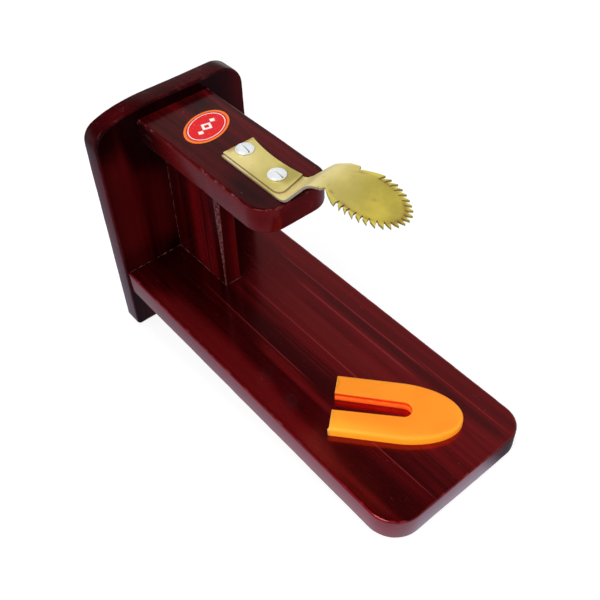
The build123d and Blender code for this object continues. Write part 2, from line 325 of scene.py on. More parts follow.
# %% Walls, corners and wear, under the lacquer
def lacquered(wood, corner=None, coat=(0.5, 0.62), painted_sheen=0.22, worn=0.7, mottled=0.4):
    """Links the finish. coat is the lacquer on faces and on side walls."""
    wall, arris, bare = wood.wall, wood.mark("arris"), wood.mark("bare")
    # Painted sheen: the side walls get a lighter, purplish red that stands for light falling on them.
    colour = wood.mix(wall * painted_sheen, wood.colour, (0.135, 0.0070, 0.026))
    blot = wood.noise(wood.still, 70.0, 3.0, 0.65)
    colour = wood.mix(blot.ramp(0.50, 0.64) * wall * mottled, colour, (0.012, 0.0008, 0.0015))
    scuff = wood.fine.ramp(0.56, 0.66) * blot.ramp(0.52, 0.42) * wall
    colour = wood.mix(scuff * 0.35 * mottled, colour, (0.26, 0.10, 0.12))
    # Painted shade: corner darkens the faces in the inner corners, where shade falls.
    if corner:
        painted_corner_shade = corner * (1 - wall) * (0.7 + wood.broad * 0.5)
        colour = wood.mix(painted_corner_shade, colour, (0.0035, 0.0002, 0.0004))
    rubbed = arris * wood.noise(wood.still, 160.0, 3.0, 0.7).ramp(0.52, 0.68)
    colour = wood.mix(rubbed * 0.55 * worn, colour, (0.24, 0.075, 0.085))
    speck = wood.add("ShaderNodeTexVoronoi", {"Vector": wood.still, "Scale": 330.0})
    speck = speck.ramp(0.16, 0.09) * wood.noise(wood.still, 55.0, 2.0).ramp(0.58, 0.68)
    colour = wood.mix(speck * 0.35 * worn, colour, (0.30, 0.13, 0.14))
    chips = wood.noise(wood.still, 620.0, 3.0, 0.7)
    scraped = wood.mix(chips.ramp(0.42, 0.60), (0.045, 0.008, 0.009), (0.21, 0.095, 0.092))
    colour = wood.mix(bare * chips.ramp(0.25, 0.50), colour, scraped)
    normal = wood.bump(wood.relief, 0.14, 0.00035)
    normal = wood.bump(wood.noise(wood.still, 420.0, 1.0), 0.04, 0.0004, normal)
    normal = wood.bump(chips * bare, 0.5, 0.0006, normal)
    rough = 0.18 + (1 - wood.broad) * 0.12 + rubbed * 0.25 + arris * 0.22
    rough = rough + wood.pore * 0.15 + bare * 0.4
    face, side = coat
    lacquer = (wall * (side - face) + face) * (1 - bare * 0.9)
    return wood.wear(Base_Color=colour, Roughness=rough, Coat_Weight=lacquer, Normal=normal)


# %% The base's wood
pale_red, red, black = (0.24, 0.024, 0.028), (0.125, 0.0050, 0.0060), (0.0050, 0.0003, 0.0006)
brown_red = (0.085, 0.0060, 0.0050)

# Each row is a streak: start, end, middle and half width in metres, tint and strength, and
# for some the side that is sharp.
wood = stained_wood("base_wood", seed=1.0)
streaks(
    wood, wood.x, wood.y,
    (0.030, 0.228, -0.0520, 0.0060, red, 0.80),
    (0.225, 0.268, -0.0505, 0.0040, red, 0.60),
    (0.118, 0.168, -0.0240, 0.0028, red, 0.70),
    (0.040, 0.165, -0.0455, 0.0085, red, 0.85),
    (0.150, 0.225, -0.0475, 0.0060, red, 0.80),
    (0.080, 0.210, 0.0120, 0.0100, brown_red, 0.70),
    (0.120, 0.200, -0.0270, 0.0035, red, 0.90),
    (0.120, 0.180, -0.0098, 0.0030, red, 0.80),
    (0.165, 0.215, 0.0165, 0.0060, red, 0.50),
    (0.225, 0.268, -0.0290, 0.0045, red, 0.20),
    (0.045, 0.190, -0.0155, 0.0062, black, 1.7, -1),
    (0.060, 0.120, -0.0185, 0.0030, black, 2.0),
    (0.055, 0.150, -0.0335, 0.0050, black, 0.7, -1),
    (0.160, 0.215, -0.0385, 0.0055, black, 0.9),
    (0.205, 0.276, -0.0395, 0.0075, black, 1.7, 1),
    (0.205, 0.276, -0.0195, 0.0050, black, 1.0, -1),
    (0.110, 0.276, 0.0362, 0.0034, black, 1.4, 1),
    (0.105, 0.165, 0.0238, 0.0042, black, 0.5, -1),
    (0.200, 0.276, 0.0375, 0.0050, black, 0.7),
    (0.060, 0.112, -0.0030, 0.0030, black, 0.8),
    (0.070, 0.190, -0.0140, 0.0008, black, 2.0),
    (0.085, 0.180, -0.0117, 0.0006, black, 2.0),
    (0.100, 0.205, -0.0086, 0.0008, black, 2.0),
    (0.115, 0.195, -0.0060, 0.0006, black, 1.8),
    (0.048, 0.160, -0.0211, 0.0007, pale_red, 0.75),
    (0.066, 0.215, 0.0024, 0.0010, pale_red, 0.80),
    (0.060, 0.205, 0.0404, 0.0010, pale_red, 0.75),
    (0.200, 0.274, 0.0425, 0.0008, pale_red, 0.50),
    (0.090, 0.205, 0.0308, 0.0013, pale_red, 0.80),
    (0.222, 0.274, -0.0238, 0.0006, pale_red, 0.90),
)
# Painted shade in the inner corner by the back board and the post. All side walls but the front one get a
# painted sheen.
by_the_back = wood.x.ramp(0.12, 0.02) * wood.y.ramp(-0.058, -0.030) * wood.y.ramp(0.05, 0.02) * 0.9
base_wood = lacquered(wood, by_the_back, painted_sheen=wood.x.ramp(0.274, 0.262) * 0.26, mottled=0.25)

# %% The arm's wood, whose walls get a redder painted sheen, and painted shade next to the back board
wood = stained_wood("arm_wood", seed=4.0, depth=-0.03, gloss=1.35)
streaks(
    wood, wood.x, wood.y,
    (0.000, 0.030, 0.0140, 0.0140, black, 0.9),
    (0.088, 0.130, -0.0180, 0.0100, black, 1.0),
    (0.010, 0.100, -0.0230, 0.0040, red, 0.3),
    (0.000, 0.070, 0.0270, 0.0040, black, 0.6),
)
# Painted sheen: the walls are painted redder.
wood.colour = wood.mix(wood.wall * 0.75, wood.colour, (0.145, 0.0045, 0.0055))
# Painted shade on the walls next to the back board.
wood.colour = wood.mix(wood.x.ramp(0.050, 0.004) * wood.wall * 0.95, wood.colour, (0.006, 0.0003, 0.0006))
arm_wood = lacquered(wood, coat=(0.32, 0.10), painted_sheen=0.0, worn=1.2, mottled=0.2)

# %% The back board's wood, with painted shade under its top edge and in its corners
wood = stained_wood("back_wood", True, seed=7.0, depth=-0.03, gloss=1.22)
streaks(
    wood, wood.z, wood.y,
    (0.014, 0.122, -0.0510, 0.0160, red, 0.80),
    (0.046, 0.108, -0.0410, 0.0060, red, 0.25),
    (0.030, 0.094, -0.0180, 0.0150, red, 0.75),
)
on_top = wood.wall * wood.z.ramp(0.118, 0.140)
wood.colour = wood.mix(on_top * 0.7, wood.colour, (0.034, 0.0010, 0.0022))
# Painted shade on the front face: under the arm, under the top edge and at the foot.
in_corner = wood.y.ramp(-0.042, -0.034) * wood.y.ramp(0.045, 0.02) * wood.z.ramp(0.088, 0.104) * 0.8
under_edge = wood.z.ramp(0.100, 0.135) * wood.y.ramp(0.050, 0.035)
at_foot = wood.z.ramp(0.050, 0.026) * wood.z.ramp(0.0, 0.018) * 0.6
in_front = wood.x.ramp(-0.008, -0.003)
dark = abs(in_corner + under_edge + at_foot).ramp(0.0, 1.1) * in_front * 0.9
wall_coat = wood.z.ramp(0.110, -0.030) * 0.40 + wood.z.ramp(0.136, 0.144) * 0.10 + 0.03
# The walls get a painted sheen that fades out towards the top edge.
back_wood = lacquered(wood, dark, (0.16, wall_coat), wood.z.ramp(0.140, 0.100) * 0.35, worn=0.25, mottled=0.2)

# %% The post's wood, with streaks that run up round its corner
wood = stained_wood("post_wood", True, seed=10.0, gloss=1.6)
streaks(
    wood, wood.z, wood.x - wood.y,
    (0.020, 0.105, 0.0400, 0.0100, (0.16, 0.0030, 0.0045), 0.9),
    (0.018, 0.080, 0.0580, 0.0050, (0.15, 0.0030, 0.0045), 0.7),
    (0.018, 0.060, 0.0520, 0.0006, pale_red, 0.7),
    (0.022, 0.075, 0.0480, 0.0004, pale_red, 0.5),
    (0.020, 0.100, 0.0655, 0.0012, black, 0.4),
)
# Painted shade on the faces next to the back board.
post_wood = lacquered(wood, wood.x.ramp(0.024, 0.0) * 0.35, coat=(0.35, 0.35))
print("wood finishes:", base_wood.name, arm_wood.name, back_wood.name, post_wood.name)

# %% [markdown]
# ## Brass, zinc, plastic, glue and the label's film
#
# The blade is brass sheet with a satin look: cloudy patches, a few scratches along the
# sheet, a rougher cut face that is darker as a cut edge and darker still with painted shade,
# brown between the teeth and a tarnished back end. The pale patches on tang, ramp and the
# back of the head and the brighter teeth are painted highlights, and the dark patch on the
# plate in front of the ramp is painted shade. The bolts look zinc plated, with painted shade
# in one half of each slot and under the rim of each head. The guard is moulded plastic with
# a very slight ripple. Its walls look lit from within, as thin plastic does, and a painted
# glow on them and in the pocket stands for that. The guard's walls, near edge and open end
# are painted yellower as painted light, its end face carries a painted highlight, and its
# slot and pocket are painted a deeper red as painted shade.


# %% Metals
def brass_sheet(name, tint, rough):
    brass = Finish(name)
    still = brass.place()
    cloud = brass.noise(still, 38.0, 3.0, 0.55)
    stain = brass.noise(still, 130.0, 4.0, 0.6)
    x, y, _ = brass.parts(still)

    def times(factor, lift=(0, 0, 0)):
        """The tint made brighter or darker, and paler by lift, but never white."""
        return [min(0.95, factor * c + more) for c, more in zip(tint, lift)]

    colour = brass.mix(cloud.ramp(0.36, 0.66), times(0.82), times(1.18))
    # Painted highlight: the back of the head is painted paler.
    behind_head = (x + y * 0.6).ramp(0.192, 0.160) * (cloud * 0.9 + 0.1)
    colour = brass.mix(behind_head, colour, times(1.3, (0.05, 0.07, 0.20)))
    # Painted highlights on the tang and the ramp, which are also made less metallic.
    on_tang = x.ramp(0.112, 0.078) * (y * -1).ramp(-0.016, 0.004)
    on_ramp = x.ramp(0.114, 0.128) * x.ramp(0.170, 0.140)
    pale = (on_tang + on_ramp * 0.9) * (cloud + 0.35)
    colour = brass.mix(pale, colour, times(1.15, (0.03, 0.055, 0.21)))
    # Painted shade on the plate in front of the ramp.
    shaded = x.ramp(0.099, 0.108) * x.ramp(0.1225, 0.116) * y.ramp(-0.002, 0.003)
    colour = brass.mix(shaded * 0.55, colour, times(0.55))
    colour = brass.mix(stain.ramp(0.60, 0.75) * 0.35, colour, (0.42, 0.30, 0.07))
    centre_x, centre_y, half_long, half_wide = 0.181, 0.0045, 0.0243, 0.0143
    away = ((x - centre_x) * (1 / half_long)) ** 2.0 + ((y - centre_y) * (1 / half_wide)) ** 2.0
    toothed = x.ramp(0.158, 0.166)
    # Painted highlight: the teeth are painted brighter.
    colour = brass.mix(away.ramp(1.05, 1.25) * toothed * 0.6, colour, times(1.45))
    root = abs(away - 1.02).ramp(0.22, 0.0) * toothed * stain.ramp(0.42, 0.60)
    colour = brass.mix(root * 0.5, colour, (0.40, 0.18, 0.03))
    tarnish = x.ramp(0.0745, 0.0695) * stain.ramp(0.36, 0.56)
    colour = brass.mix(tarnish * 0.8, colour, (0.38, 0.20, 0.04))
    scratch = brass.noise(brass.place((30, 1900, 1900)), 1.0, 2.0, 0.6)
    normal = brass.bump(scratch, 0.10, 0.0002)
    normal = brass.bump(cloud, 0.12, 0.0015, normal)
    rough = rough + stain * 0.16 + scratch * 0.06
    return brass.wear(Base_Color=colour, Roughness=rough, Metallic=0.5 - pale * 0.38, Normal=normal)


def zinc_plate(name):
    zinc = Finish(name, Metallic=0.25)
    still = zinc.place()
    cloud = zinc.noise(still, 240.0, 3.0, 0.6)
    colour = zinc.mix(cloud.ramp(0.35, 0.7), (0.84, 0.88, 0.90), (0.98, 0.99, 1.0))
    dirt = zinc.noise(still, 520.0, 2.0).ramp(0.62, 0.74)
    colour = zinc.mix(dirt * 0.3, colour, (0.35, 0.38, 0.42))
    # Painted shade from the mesh's mark, in the slot and under the rim of each bolt's head.
    colour = zinc.mix(zinc.mark("grime") * 0.8, colour, (0.02, 0.025, 0.05))
    normal = zinc.bump(cloud, 0.15, 0.0003)
    return zinc.wear(Base_Color=colour, Roughness=0.26 + cloud * 0.2, Normal=normal)


brass = brass_sheet("brass_sheet", (0.72, 0.575, 0.090), 0.30)
# The cut faces are darker and rougher, as a cut edge is, and darker still with painted shade. The plate's cut
# face is darkest, as painted shade in the gap over the tang.
cut_brass = brass_sheet("cut_brass", (0.34, 0.26, 0.08), 0.46)
dark_cut = brass_sheet("dark_cut", (0.29, 0.205, 0.065), 0.5)
zinc = zinc_plate("zinc_plate")
for node in ("rear_blade_washer", "front_blade_washer", "rear_blade_nut", "front_blade_nut"):
    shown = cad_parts[node]
    shown.data.materials.clear()
    shown.data.materials.append(zinc)
print("metal finishes:", brass.name, cut_brass.name, zinc.name)


# %% Where the guard lies, and its slot, in millimetres
guard_place, guard_angle = Vector((188.6, -24.3)), math.radians(40.35)
slot_mouth, slot_taper, slot_length = 6.27, 0.0201, 43.3


# %% Plastic and glue
def guard_plastic(name):
    """u runs along the guard from its open end and v across it, in metres."""
    plastic = Finish(
        name,
        Specular_IOR_Level=0.35,
        Subsurface_Weight=0.12,
        Subsurface_Scale=0.003,
        Emission_Strength=1.0,
    )
    still = plastic.place()
    cloud = plastic.noise(still, 24.0, 2.0)
    colour = plastic.mix(cloud.ramp(0.3, 0.7), (1.0, 0.270, 0.009), (1.0, 0.330, 0.016))
    here = plastic.place(turn=(0, 0, guard_angle), move=(*(guard_place * 0.001), 0))
    u, v, _ = plastic.parts(here)
    # Painted light: the open end, the near edge and the walls are painted yellower, and the end face gets a
    # painted highlight.
    colour = plastic.mix(u.ramp(0.055, 0.0) * 0.15, colour, (1.0, 0.42, 0.020))
    painted_edge_highlight = v.ramp(-0.010, -0.0185) * (u.ramp(0.065, 0.0) * 0.8 + 0.2)
    colour = plastic.mix(painted_edge_highlight * 0.55, colour, (1.0, 0.47, 0.026))
    colour = plastic.mix(plastic.mark("wall") * 0.75, colour, (1.0, 0.47, 0.026))
    colour = plastic.mix(u.ramp(0.0008, 0.0) * 0.7, colour, (1.0, 0.56, 0.16))
    past = plastic.add("ShaderNodeMath", {0: u - 0.001 * slot_length, 1: 0.0}, operation="MAXIMUM")
    from_slot = (past**2.0 + v * v) ** 0.5 - (0.001 * slot_mouth - u * slot_taper)
    # Painted shade: the slot walls are painted a deeper red.
    painted_slot_shade = from_slot.ramp(0.00040, 0.00005) * 0.95
    colour = plastic.mix(painted_slot_shade, colour, (1.0, 0.120, 0.006))
    flow = plastic.noise(plastic.place((90, 30, 30), (0, 0, guard_angle)), 1.0, 2.0)
    grain = plastic.noise(still, 900.0, 2.0)
    normal = plastic.bump(flow, 0.10, 0.0008)
    normal = plastic.bump(grain, 0.06, 0.0002, normal)
    # A painted glow on the walls, away from the slot.
    lit_through = plastic.mark("wall") * from_slot.ramp(0.003, 0.006)
    glow = plastic.mix(lit_through, (0, 0, 0), (0.36, 0.075, 0.002))
    rough = 0.44 + grain * 0.14
    return plastic.wear(Base_Color=colour, Roughness=rough, Emission_Color=glow, Normal=normal)


def pocket_plastic(name):
    """The inside of the guard, painted a deep red as painted shade, with a painted glow for the light that
    comes through the thin orange walls.
    """
    plastic = Finish(name, Specular_IOR_Level=0.1, Emission_Strength=1.0)
    cloud = plastic.noise(plastic.place(), 300.0, 2.0)
    colour = plastic.mix(cloud.ramp(0.3, 0.7), (0.95, 0.070, 0.004), (1.0, 0.110, 0.008))
    glow = plastic.mix(cloud.ramp(0.3, 0.7), (0.66, 0.050, 0.002), (0.78, 0.075, 0.004))
    normal = plastic.bump(cloud, 0.06, 0.0002)
    return plastic.wear(Base_Color=colour, Emission_Color=glow, Roughness=0.6 + cloud * 0.2, Normal=normal)


def dried_glue(name):
    glue = Finish(name, Specular_IOR_Level=0.4)
    cloud = glue.noise(glue.place(), 260.0, 3.0, 0.6)
    colour = glue.mix(cloud.ramp(0.38, 0.62), (0.03, 0.003, 0.004), (0.27, 0.10, 0.09))
    return glue.wear(Base_Color=colour, Roughness=0.4 + cloud * 0.2)


orange, deep_orange = guard_plastic("guard_plastic"), pocket_plastic("guard_inside")
glue = dried_glue("dried_glue")
print("plastic and glue:", orange.name, glue.name)

# %% [markdown]
# ## Boards
#
# A board is a flat outline with thickness, so one function makes them all. The outline
# comes from its corners and their radii. The sanded edge is a stack of rings, each drawn
# in a little further, and the radius of that edge wanders along the board, as an edge
# sanded by hand does. The points on the rounded edge carry a number, arris, that tells the
# finish where to look rubbed.


# %% Outlines
def corner_arc(before, here, after, radius):
    """The arc that rounds a corner: its centre, the way to its start, and its turn."""
    here = Vector(here)
    back = (Vector(before) - here).normalized()
    ahead = (Vector(after) - here).normalized()
    half = back.angle(ahead) / 2
    centre = here + (back + ahead).normalized() * radius / math.sin(half)
    start = here + back * radius / math.tan(half) - centre
    return centre, start, math.copysign(math.pi - 2 * half, ahead.cross(back))


def rounded(corners, step=2.4):
    """Points round a polygon of (u, v, radius) corners, anticlockwise."""
    ring = []
    for index, (u, v, radius) in enumerate(corners):
        after = corners[(index + 1) % len(corners)]
        centre, start, bend = corner_arc(corners[index - 1][:2], (u, v), after[:2], radius)
        steps = max(1, round(abs(bend) * max(2.0, radius**0.5 * 2.2)))
        for count in range(steps + 1):
            ring.append(centre + Matrix.Rotation(bend * count / steps, 2) @ start)
    filled = []
    for index, point in enumerate(ring):
        gap = ring[(index + 1) % len(ring)] - point
        pieces = max(1, round(gap.length / step))
        filled += [point + gap * share / pieces for share in range(pieces)]
    return filled


def outward(outline):
    """The outward direction at each point of an outline."""
    ways = []
    for index, point in enumerate(outline):
        run = outline[(index + 1) % len(outline)] - outline[index - 1]
        ways.append(Vector((run.y, -run.x)).normalized())
    return ways


# %% One function for every board
def into_object(name, points, faces, materials, marks=None, sharp=40):
    """A smooth-shaded object from points in millimetres."""
    mesh = bpy.data.meshes.new(name)
    mesh.from_pydata([tuple(0.001 * c for c in point) for point in points], [], faces)
    for material in materials:
        mesh.materials.append(material)
    for label, values in (marks or {}).items():
        layer = mesh.attributes.new(label, "FLOAT", "POINT")
        layer.data.foreach_set("value", values)
    mesh.shade_smooth()
    mesh.set_sharp_from_angle(angle=math.radians(sharp))
    return show(name, mesh)


def on_plan(u, v, w):
    """The place of an outline that is drawn on the plan."""
    return (u, v, w)


def board(name, outline, low, high, material, radius, place=on_plan, steps=5, below=1.0):
    """Stacks rings of the outline from low to high, and puts each point where place says.

    radius(point) is the rounded edge there. The lower edge has the same radius, times below.
    """
    ways = outward(outline)
    radii = [radius(point) for point in outline]
    flat_rim = 0.7  # a narrow flat ring, so that the round edge doesn't shade the face
    rings = [(-1, 0.0)] + [(-1, k / steps) for k in range(steps + 1)]
    rings += [(1, 1 - k / steps) for k in range(steps + 1)] + [(1, 0.0)]
    points, marks, walls = [], [], []
    for number, (side, share) in enumerate(rings):
        angle = share * math.pi / 2
        flat = flat_rim if number in (0, len(rings) - 1) else 0.0
        for point, way, edge in zip(outline, ways, radii):
            edge = edge * below if side < 0 else edge
            inset = edge * (1 - math.sin(angle)) + flat
            drop = edge * (1 - math.cos(angle))
            level = low + drop if side < 0 else high - drop
            spot = point - way * inset
            points.append(place(spot.x, spot.y, level))
            marks.append(math.sin(2 * angle) if edge > 0.3 else 0.0)
            walls.append(math.sin(angle) ** 2)
    count = len(outline)
    faces = [tuple(reversed(range(count)))]
    for number in range(len(rings) - 1):
        base = number * count
        for index in range(count):
            after = (index + 1) % count
            faces.append((base + index, base + after, base + count + after, base + count + index))
    last = (len(rings) - 1) * count
    faces.append(tuple(range(last, last + count)))
    return into_object(name, points, faces, [material], {"arris": marks, "wall": walls})


# %% [markdown]
# ### Base, arm and back board
#
# The boards take their sizes from the frame: each is as long, wide and thick as the solid
# that it stands for. Only the corner radii and the state of the edges are given here.
# Random numbers have a fixed seed, so that the wear is the same on every run.


# %% Sanded edges that wander
def sanded(usual, seed, square=None, nicks=()):
    """A radius for each point: usual, with slow changes, and sharp where square says so.

    A nick is a place, how far it reaches and how much it adds to the radius.
    """

    def radius(point):
        if square and square(point):
            return 0.06
        slow = noise.noise(Vector((point.x * 0.035, point.y * 0.035, seed)))
        quick = noise.noise(Vector((point.x * 0.31, point.y * 0.31, seed + 5)))
        size = usual * (1 + 0.35 * slow + 0.2 * quick)
        for u, v, reach, extra in nicks:
            away = (point - Vector((u, v))).length / reach
            size += extra * math.exp(-away * away)
        return max(0.3, size)

    return radius


def node_box(node):
    """A node's lowest and highest corner, in millimetres."""
    low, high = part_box(node)
    return low * 1000, high * 1000


def against_back(point):
    """True at a board's end that meets the back board, which is sawn square."""
    return point.x < 1.0


def front_rounded(low, high, near_radius, far_radius):
    """A board on the plan with two rounded front corners."""
    square = 0.05
    return rounded(
        [
            (low.x, low.y, square),
            (high.x, low.y, near_radius),
            (high.x, high.y, far_radius),
            (low.x, high.y, square),
        ]
    )


# %% The base
low, high = node_box("base_board")
edge = sanded(1.5, 2.0, against_back, nicks=[(262, -55, 5, 0.5), (120, -57, 4, 0.5)])
base = board("base", front_rounded(low, high, 20, 16), low.z, high.z, base_wood, edge)
print("base:", len(base.data.vertices), "points")

# %% The arm
low, high = node_box("arm_board")
arm_nicks = [(70, -26, 2.5, 0.8), (98, -26, 2, 0.6), (38, -26, 2, 0.5)]
edge = sanded(1.3, 9.0, against_back, arm_nicks)
arm = board("arm", front_rounded(low, high, 16, 16), low.z, high.z, arm_wood, edge)
print("arm:", len(arm.data.vertices), "points")

# %% The back board, whose -Y corner is rounded to a wide sweep
low, high = node_box("back_board")
sweep, sweep_radius, side_radius = math.radians(17), 115, 14
sweep_start = low.y + side_radius * (1 - math.sin(sweep)) + sweep_radius * math.sin(sweep)
sweep_corner = sweep_start - sweep_radius * math.tan(sweep / 2)
side_corner = high.z - (sweep_corner - low.y) * math.tan(sweep)
back_outline = rounded(
    [
        (low.y, low.z, 3),
        (high.y, low.z, 3),
        (high.y, high.z, 17),
        (sweep_corner, high.z, sweep_radius),
        (low.y, side_corner, side_radius),
    ]
)


def standing(u, v, w):
    """The place of an outline that is drawn on an upright board."""
    return (w, u, v)


edge = sanded(1.6, 4.0, nicks=[(-50, 138, 6, 0.6)])
back = board("back", back_outline, low.x, high.x, back_wood, edge, standing)
print("back board:", len(back.data.vertices), "points")

# %% [markdown]
# ### The post
#
# The post is not quite square: its front left edge is cut off, more at the top than at the
# foot. Here it is a stack of level slices, and the corner of each slice is cut
# back by a little more than the one below. The points on the cut carry a number, bare, that
# tells the finish where the wood shows.

# %% The post
low, high = node_box("support_post")
slices, cut_foot = 32, 8


def post_slice(level):
    """The post's outline at one height, with its hand-cut corner between points 2 and 3."""
    share = max(0.0, (level - low.z - cut_foot) / (high.z - low.z - cut_foot))
    wobble = 1 + 0.12 * noise.noise(Vector((0, 0, level * 0.12)))
    deep, wide = 3.4 * share * wobble + 0.5, 2.6 * share * wobble + 0.5
    return [
        (low.x, low.y),
        (high.x - deep - 0.5, low.y),
        (high.x - deep, low.y + 0.12),
        (high.x - 0.12, low.y + wide),
        (high.x, low.y + wide + 0.5),
        (high.x, high.y - 0.8),
        (high.x - 0.25, high.y - 0.25),
        (high.x - 0.8, high.y),
        (low.x, high.y),
    ]


levels = [low.z + (high.z - low.z) * k / slices for k in range(slices + 1)]
points = [(x, y, level) for level in levels for x, y in post_slice(level)]
count = len(post_slice(low.z))
marks = [1.0 if corner in (2, 3) else 0.0 for level in levels for corner in range(count)]
faces = [tuple(reversed(range(count))), tuple(range(slices * count, len(points)))]
for first in range(0, slices * count, count):
    for corner in range(count):
        after = (corner + 1) % count
        faces.append((first + corner, first + after, first + count + after, first + count + corner))
post = into_object("post", points, faces, [post_wood], {"bare": marks}, sharp=8)
print("post:", len(points), "points")

# %% [markdown]
# ## Wood screws
#
# Ten countersunk screws hold the boards together: eight go in from behind, two come up
# through the base. None of them shows in the picture, so their number, places and kind are
# guesses from how such a stand is usually held together. They are one small shape that
# repeats, so Geometry Nodes make it once and place it on ten points. Each point carries the
# direction that its screw drives in. The heads sit in countersinks that a Boolean cuts from
# the boards.


# %% A tree with named inputs
def new_tree(name, **inputs):
    """An empty Geometry Nodes tree with a geometry input and numbers by name."""
    tree = bpy.data.node_groups.new(name, "GeometryNodeTree")
    tree.interface.new_socket("Geometry", in_out="INPUT", socket_type="NodeSocketGeometry")
    tree.interface.new_socket("Geometry", in_out="OUTPUT", socket_type="NodeSocketGeometry")
    for label, value in inputs.items():
        label = label.replace("_", " ")
        socket = tree.interface.new_socket(label, in_out="INPUT", socket_type="NodeSocketFloat")
        socket.default_value = value
    tree.nodes.new("NodeGroupInput")
    tree.nodes.new("NodeGroupOutput")
    return tree


def join(tree, kind, links=None, output=0, **settings):
    """Adds one node to a tree, links or sets its sockets, and gives back an output."""
    node = tree.nodes.new(kind)
    for setting, value in settings.items():
        setattr(node, setting, value)
    for socket, value in (links or {}).items():
        values = value if isinstance(value, list) else [value]
        for one in values:
            if isinstance(one, bpy.types.NodeSocket):
                tree.links.new(one, node.inputs[socket])
            else:
                node.inputs[socket].default_value = one
    return node.outputs[output]


def end_tree(tree, geometry, material):
    """Ends a tree: copies made real, and one material."""
    real = join(tree, "GeometryNodeRealizeInstances", {"Geometry": geometry})
    shown = join(tree, "GeometryNodeSetMaterial", {"Geometry": real, "Material": material})
    tree.links.new(shown, tree.nodes["Group Output"].inputs[0])
    return tree


def bake(made, tree, name, **values):
    """Runs the tree on an object and keeps the result as a plain mesh."""
    modifier = made.modifiers.new("grow", "NODES")
    modifier.node_group = tree
    for item in tree.interface.items_tree:
        label = item.name.replace(" ", "_")
        if item.in_out == "INPUT" and label in values:
            modifier[item.identifier] = values[label]
    graph = bpy.context.evaluated_depsgraph_get()
    mesh = bpy.data.meshes.new_from_object(made.evaluated_get(graph))
    made.modifiers.remove(modifier)
    bpy.data.objects.remove(made)
    mesh.name = name
    return show(name, mesh)


# %% The screw tree
def screw_tree():
    tree = new_tree("wood_screws", Head_radius=0.004, Shank_radius=0.002, Length=0.04, Recess=0.0046)
    given = tree.nodes["Group Input"].outputs
    head_radius, shank_radius = given["Head radius"], given["Shank radius"]
    head_depth = join(tree, "ShaderNodeMath", {0: head_radius, 1: shank_radius}, operation="SUBTRACT")
    cone = {"Vertices": 28, "Radius Top": shank_radius, "Radius Bottom": head_radius, "Depth": head_depth}
    head = join(tree, "GeometryNodeMeshCone", cone)
    tapered = {"Vertices": 20, "Side Segments": 6, "Radius Top": 0.0003}
    tapered |= {"Radius Bottom": shank_radius, "Depth": given["Length"]}
    shank = join(tree, "GeometryNodeMeshCone", tapered)
    wide = join(tree, "ShaderNodeCombineXYZ", {0: given["Recess"], 1: 0.001, 2: 0.0028})
    long = join(tree, "ShaderNodeCombineXYZ", {0: 0.001, 1: given["Recess"], 2: 0.0028})
    bars = [join(tree, "GeometryNodeMeshCube", {"Size": size}) for size in (wide, long)]
    cut = join(tree, "GeometryNodeMeshBoolean", {"Mesh 1": head, "Mesh 2": bars}, operation="DIFFERENCE")
    whole = join(tree, "GeometryNodeJoinGeometry", {"Geometry": [cut, shank]})
    drive = join(tree, "GeometryNodeInputNamedAttribute", {"Name": "drive"}, data_type="FLOAT_VECTOR")
    turned = join(tree, "FunctionNodeAlignRotationToVector", {"Vector": drive}, axis="Z")
    spots = {"Points": given["Geometry"], "Instance": whole, "Rotation": turned}
    placed = join(tree, "GeometryNodeInstanceOnPoints", spots)
    return end_tree(tree, placed, zinc)


screw_nodes = sorted(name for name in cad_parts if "_screw" in name)
screw_points, screw_ways = [], []
for name in screw_nodes:
    low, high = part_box(name)
    middle = (low + high) / 2
    if name.startswith("foot"):
        screw_points.append((middle.x, middle.y, low.z))
        screw_ways.append((0, 0, 1))
    else:
        screw_points.append((low.x, middle.y, middle.z))
        screw_ways.append((1, 0, 0))

mesh = bpy.data.meshes.new("screw_points")
mesh.from_pydata(screw_points, [], [])
layer = mesh.attributes.new("drive", "FLOAT_VECTOR", "POINT")
layer.data.foreach_set("vector", [c for way in screw_ways for c in way])
screws = bake(show("screw_points", mesh), screw_tree(), "wood_screws", Head_radius=0.00385)
print("wood screws:", len(screw_nodes), "in", len(screws.data.polygons), "faces")


# %% Countersinks for their heads
def settle(made):
    """Applies all of an object's modifiers to its mesh."""
    graph = bpy.context.evaluated_depsgraph_get()
    mesh = bpy.data.meshes.new_from_object(made.evaluated_get(graph))
    made.modifiers.clear()
    old, made.data = made.data, mesh
    mesh.name = made.name
    bpy.data.meshes.remove(old)


def subtract(made, tool):
    """Cuts the tool out of a piece, and removes the tool."""
    change = made.modifiers.new("cut", "BOOLEAN")
    change.object = tool
    change.operation = "DIFFERENCE"
    change.solver = "EXACT"
    settle(made)
    bpy.data.objects.remove(tool)


def as_tool(shape):
    """A cutting tool from a bmesh."""
    mesh = bpy.data.meshes.new("tool")
    shape.to_mesh(mesh)
    return show("tool", mesh)


def countersink(made, sinks):
    """Cuts cones out of a board, one at each (point, direction) in metres."""
    cones = bmesh.new()
    for point, way in sinks:
        spin = Vector((0, 0, 1)).rotation_difference(Vector(way)).to_matrix().to_4x4()
        start = Matrix.Translation(Vector(point) + 0.0009 * Vector(way))
        sizes = {"segments": 40, "radius1": 0.0050, "radius2": 0.0021, "depth": 0.0029}
        bmesh.ops.create_cone(cones, cap_ends=True, matrix=start @ spin, **sizes)
    subtract(made, as_tool(cones))


sinks = list(zip(screw_points, screw_ways))
countersink(back, [sink for sink in sinks if sink[1][0]])
countersink(base, [sink for sink in sinks if sink[1][2]])
print("countersinks:", len(sinks))

# %% [markdown]
# ## Glue in the joints
#
# Pale, broken lines show in the inner corners of the picture, and they are taken for thin
# beads of dried glue. Each line is a path, and Geometry Nodes give every path a thin round
# section whose thickness comes and goes.


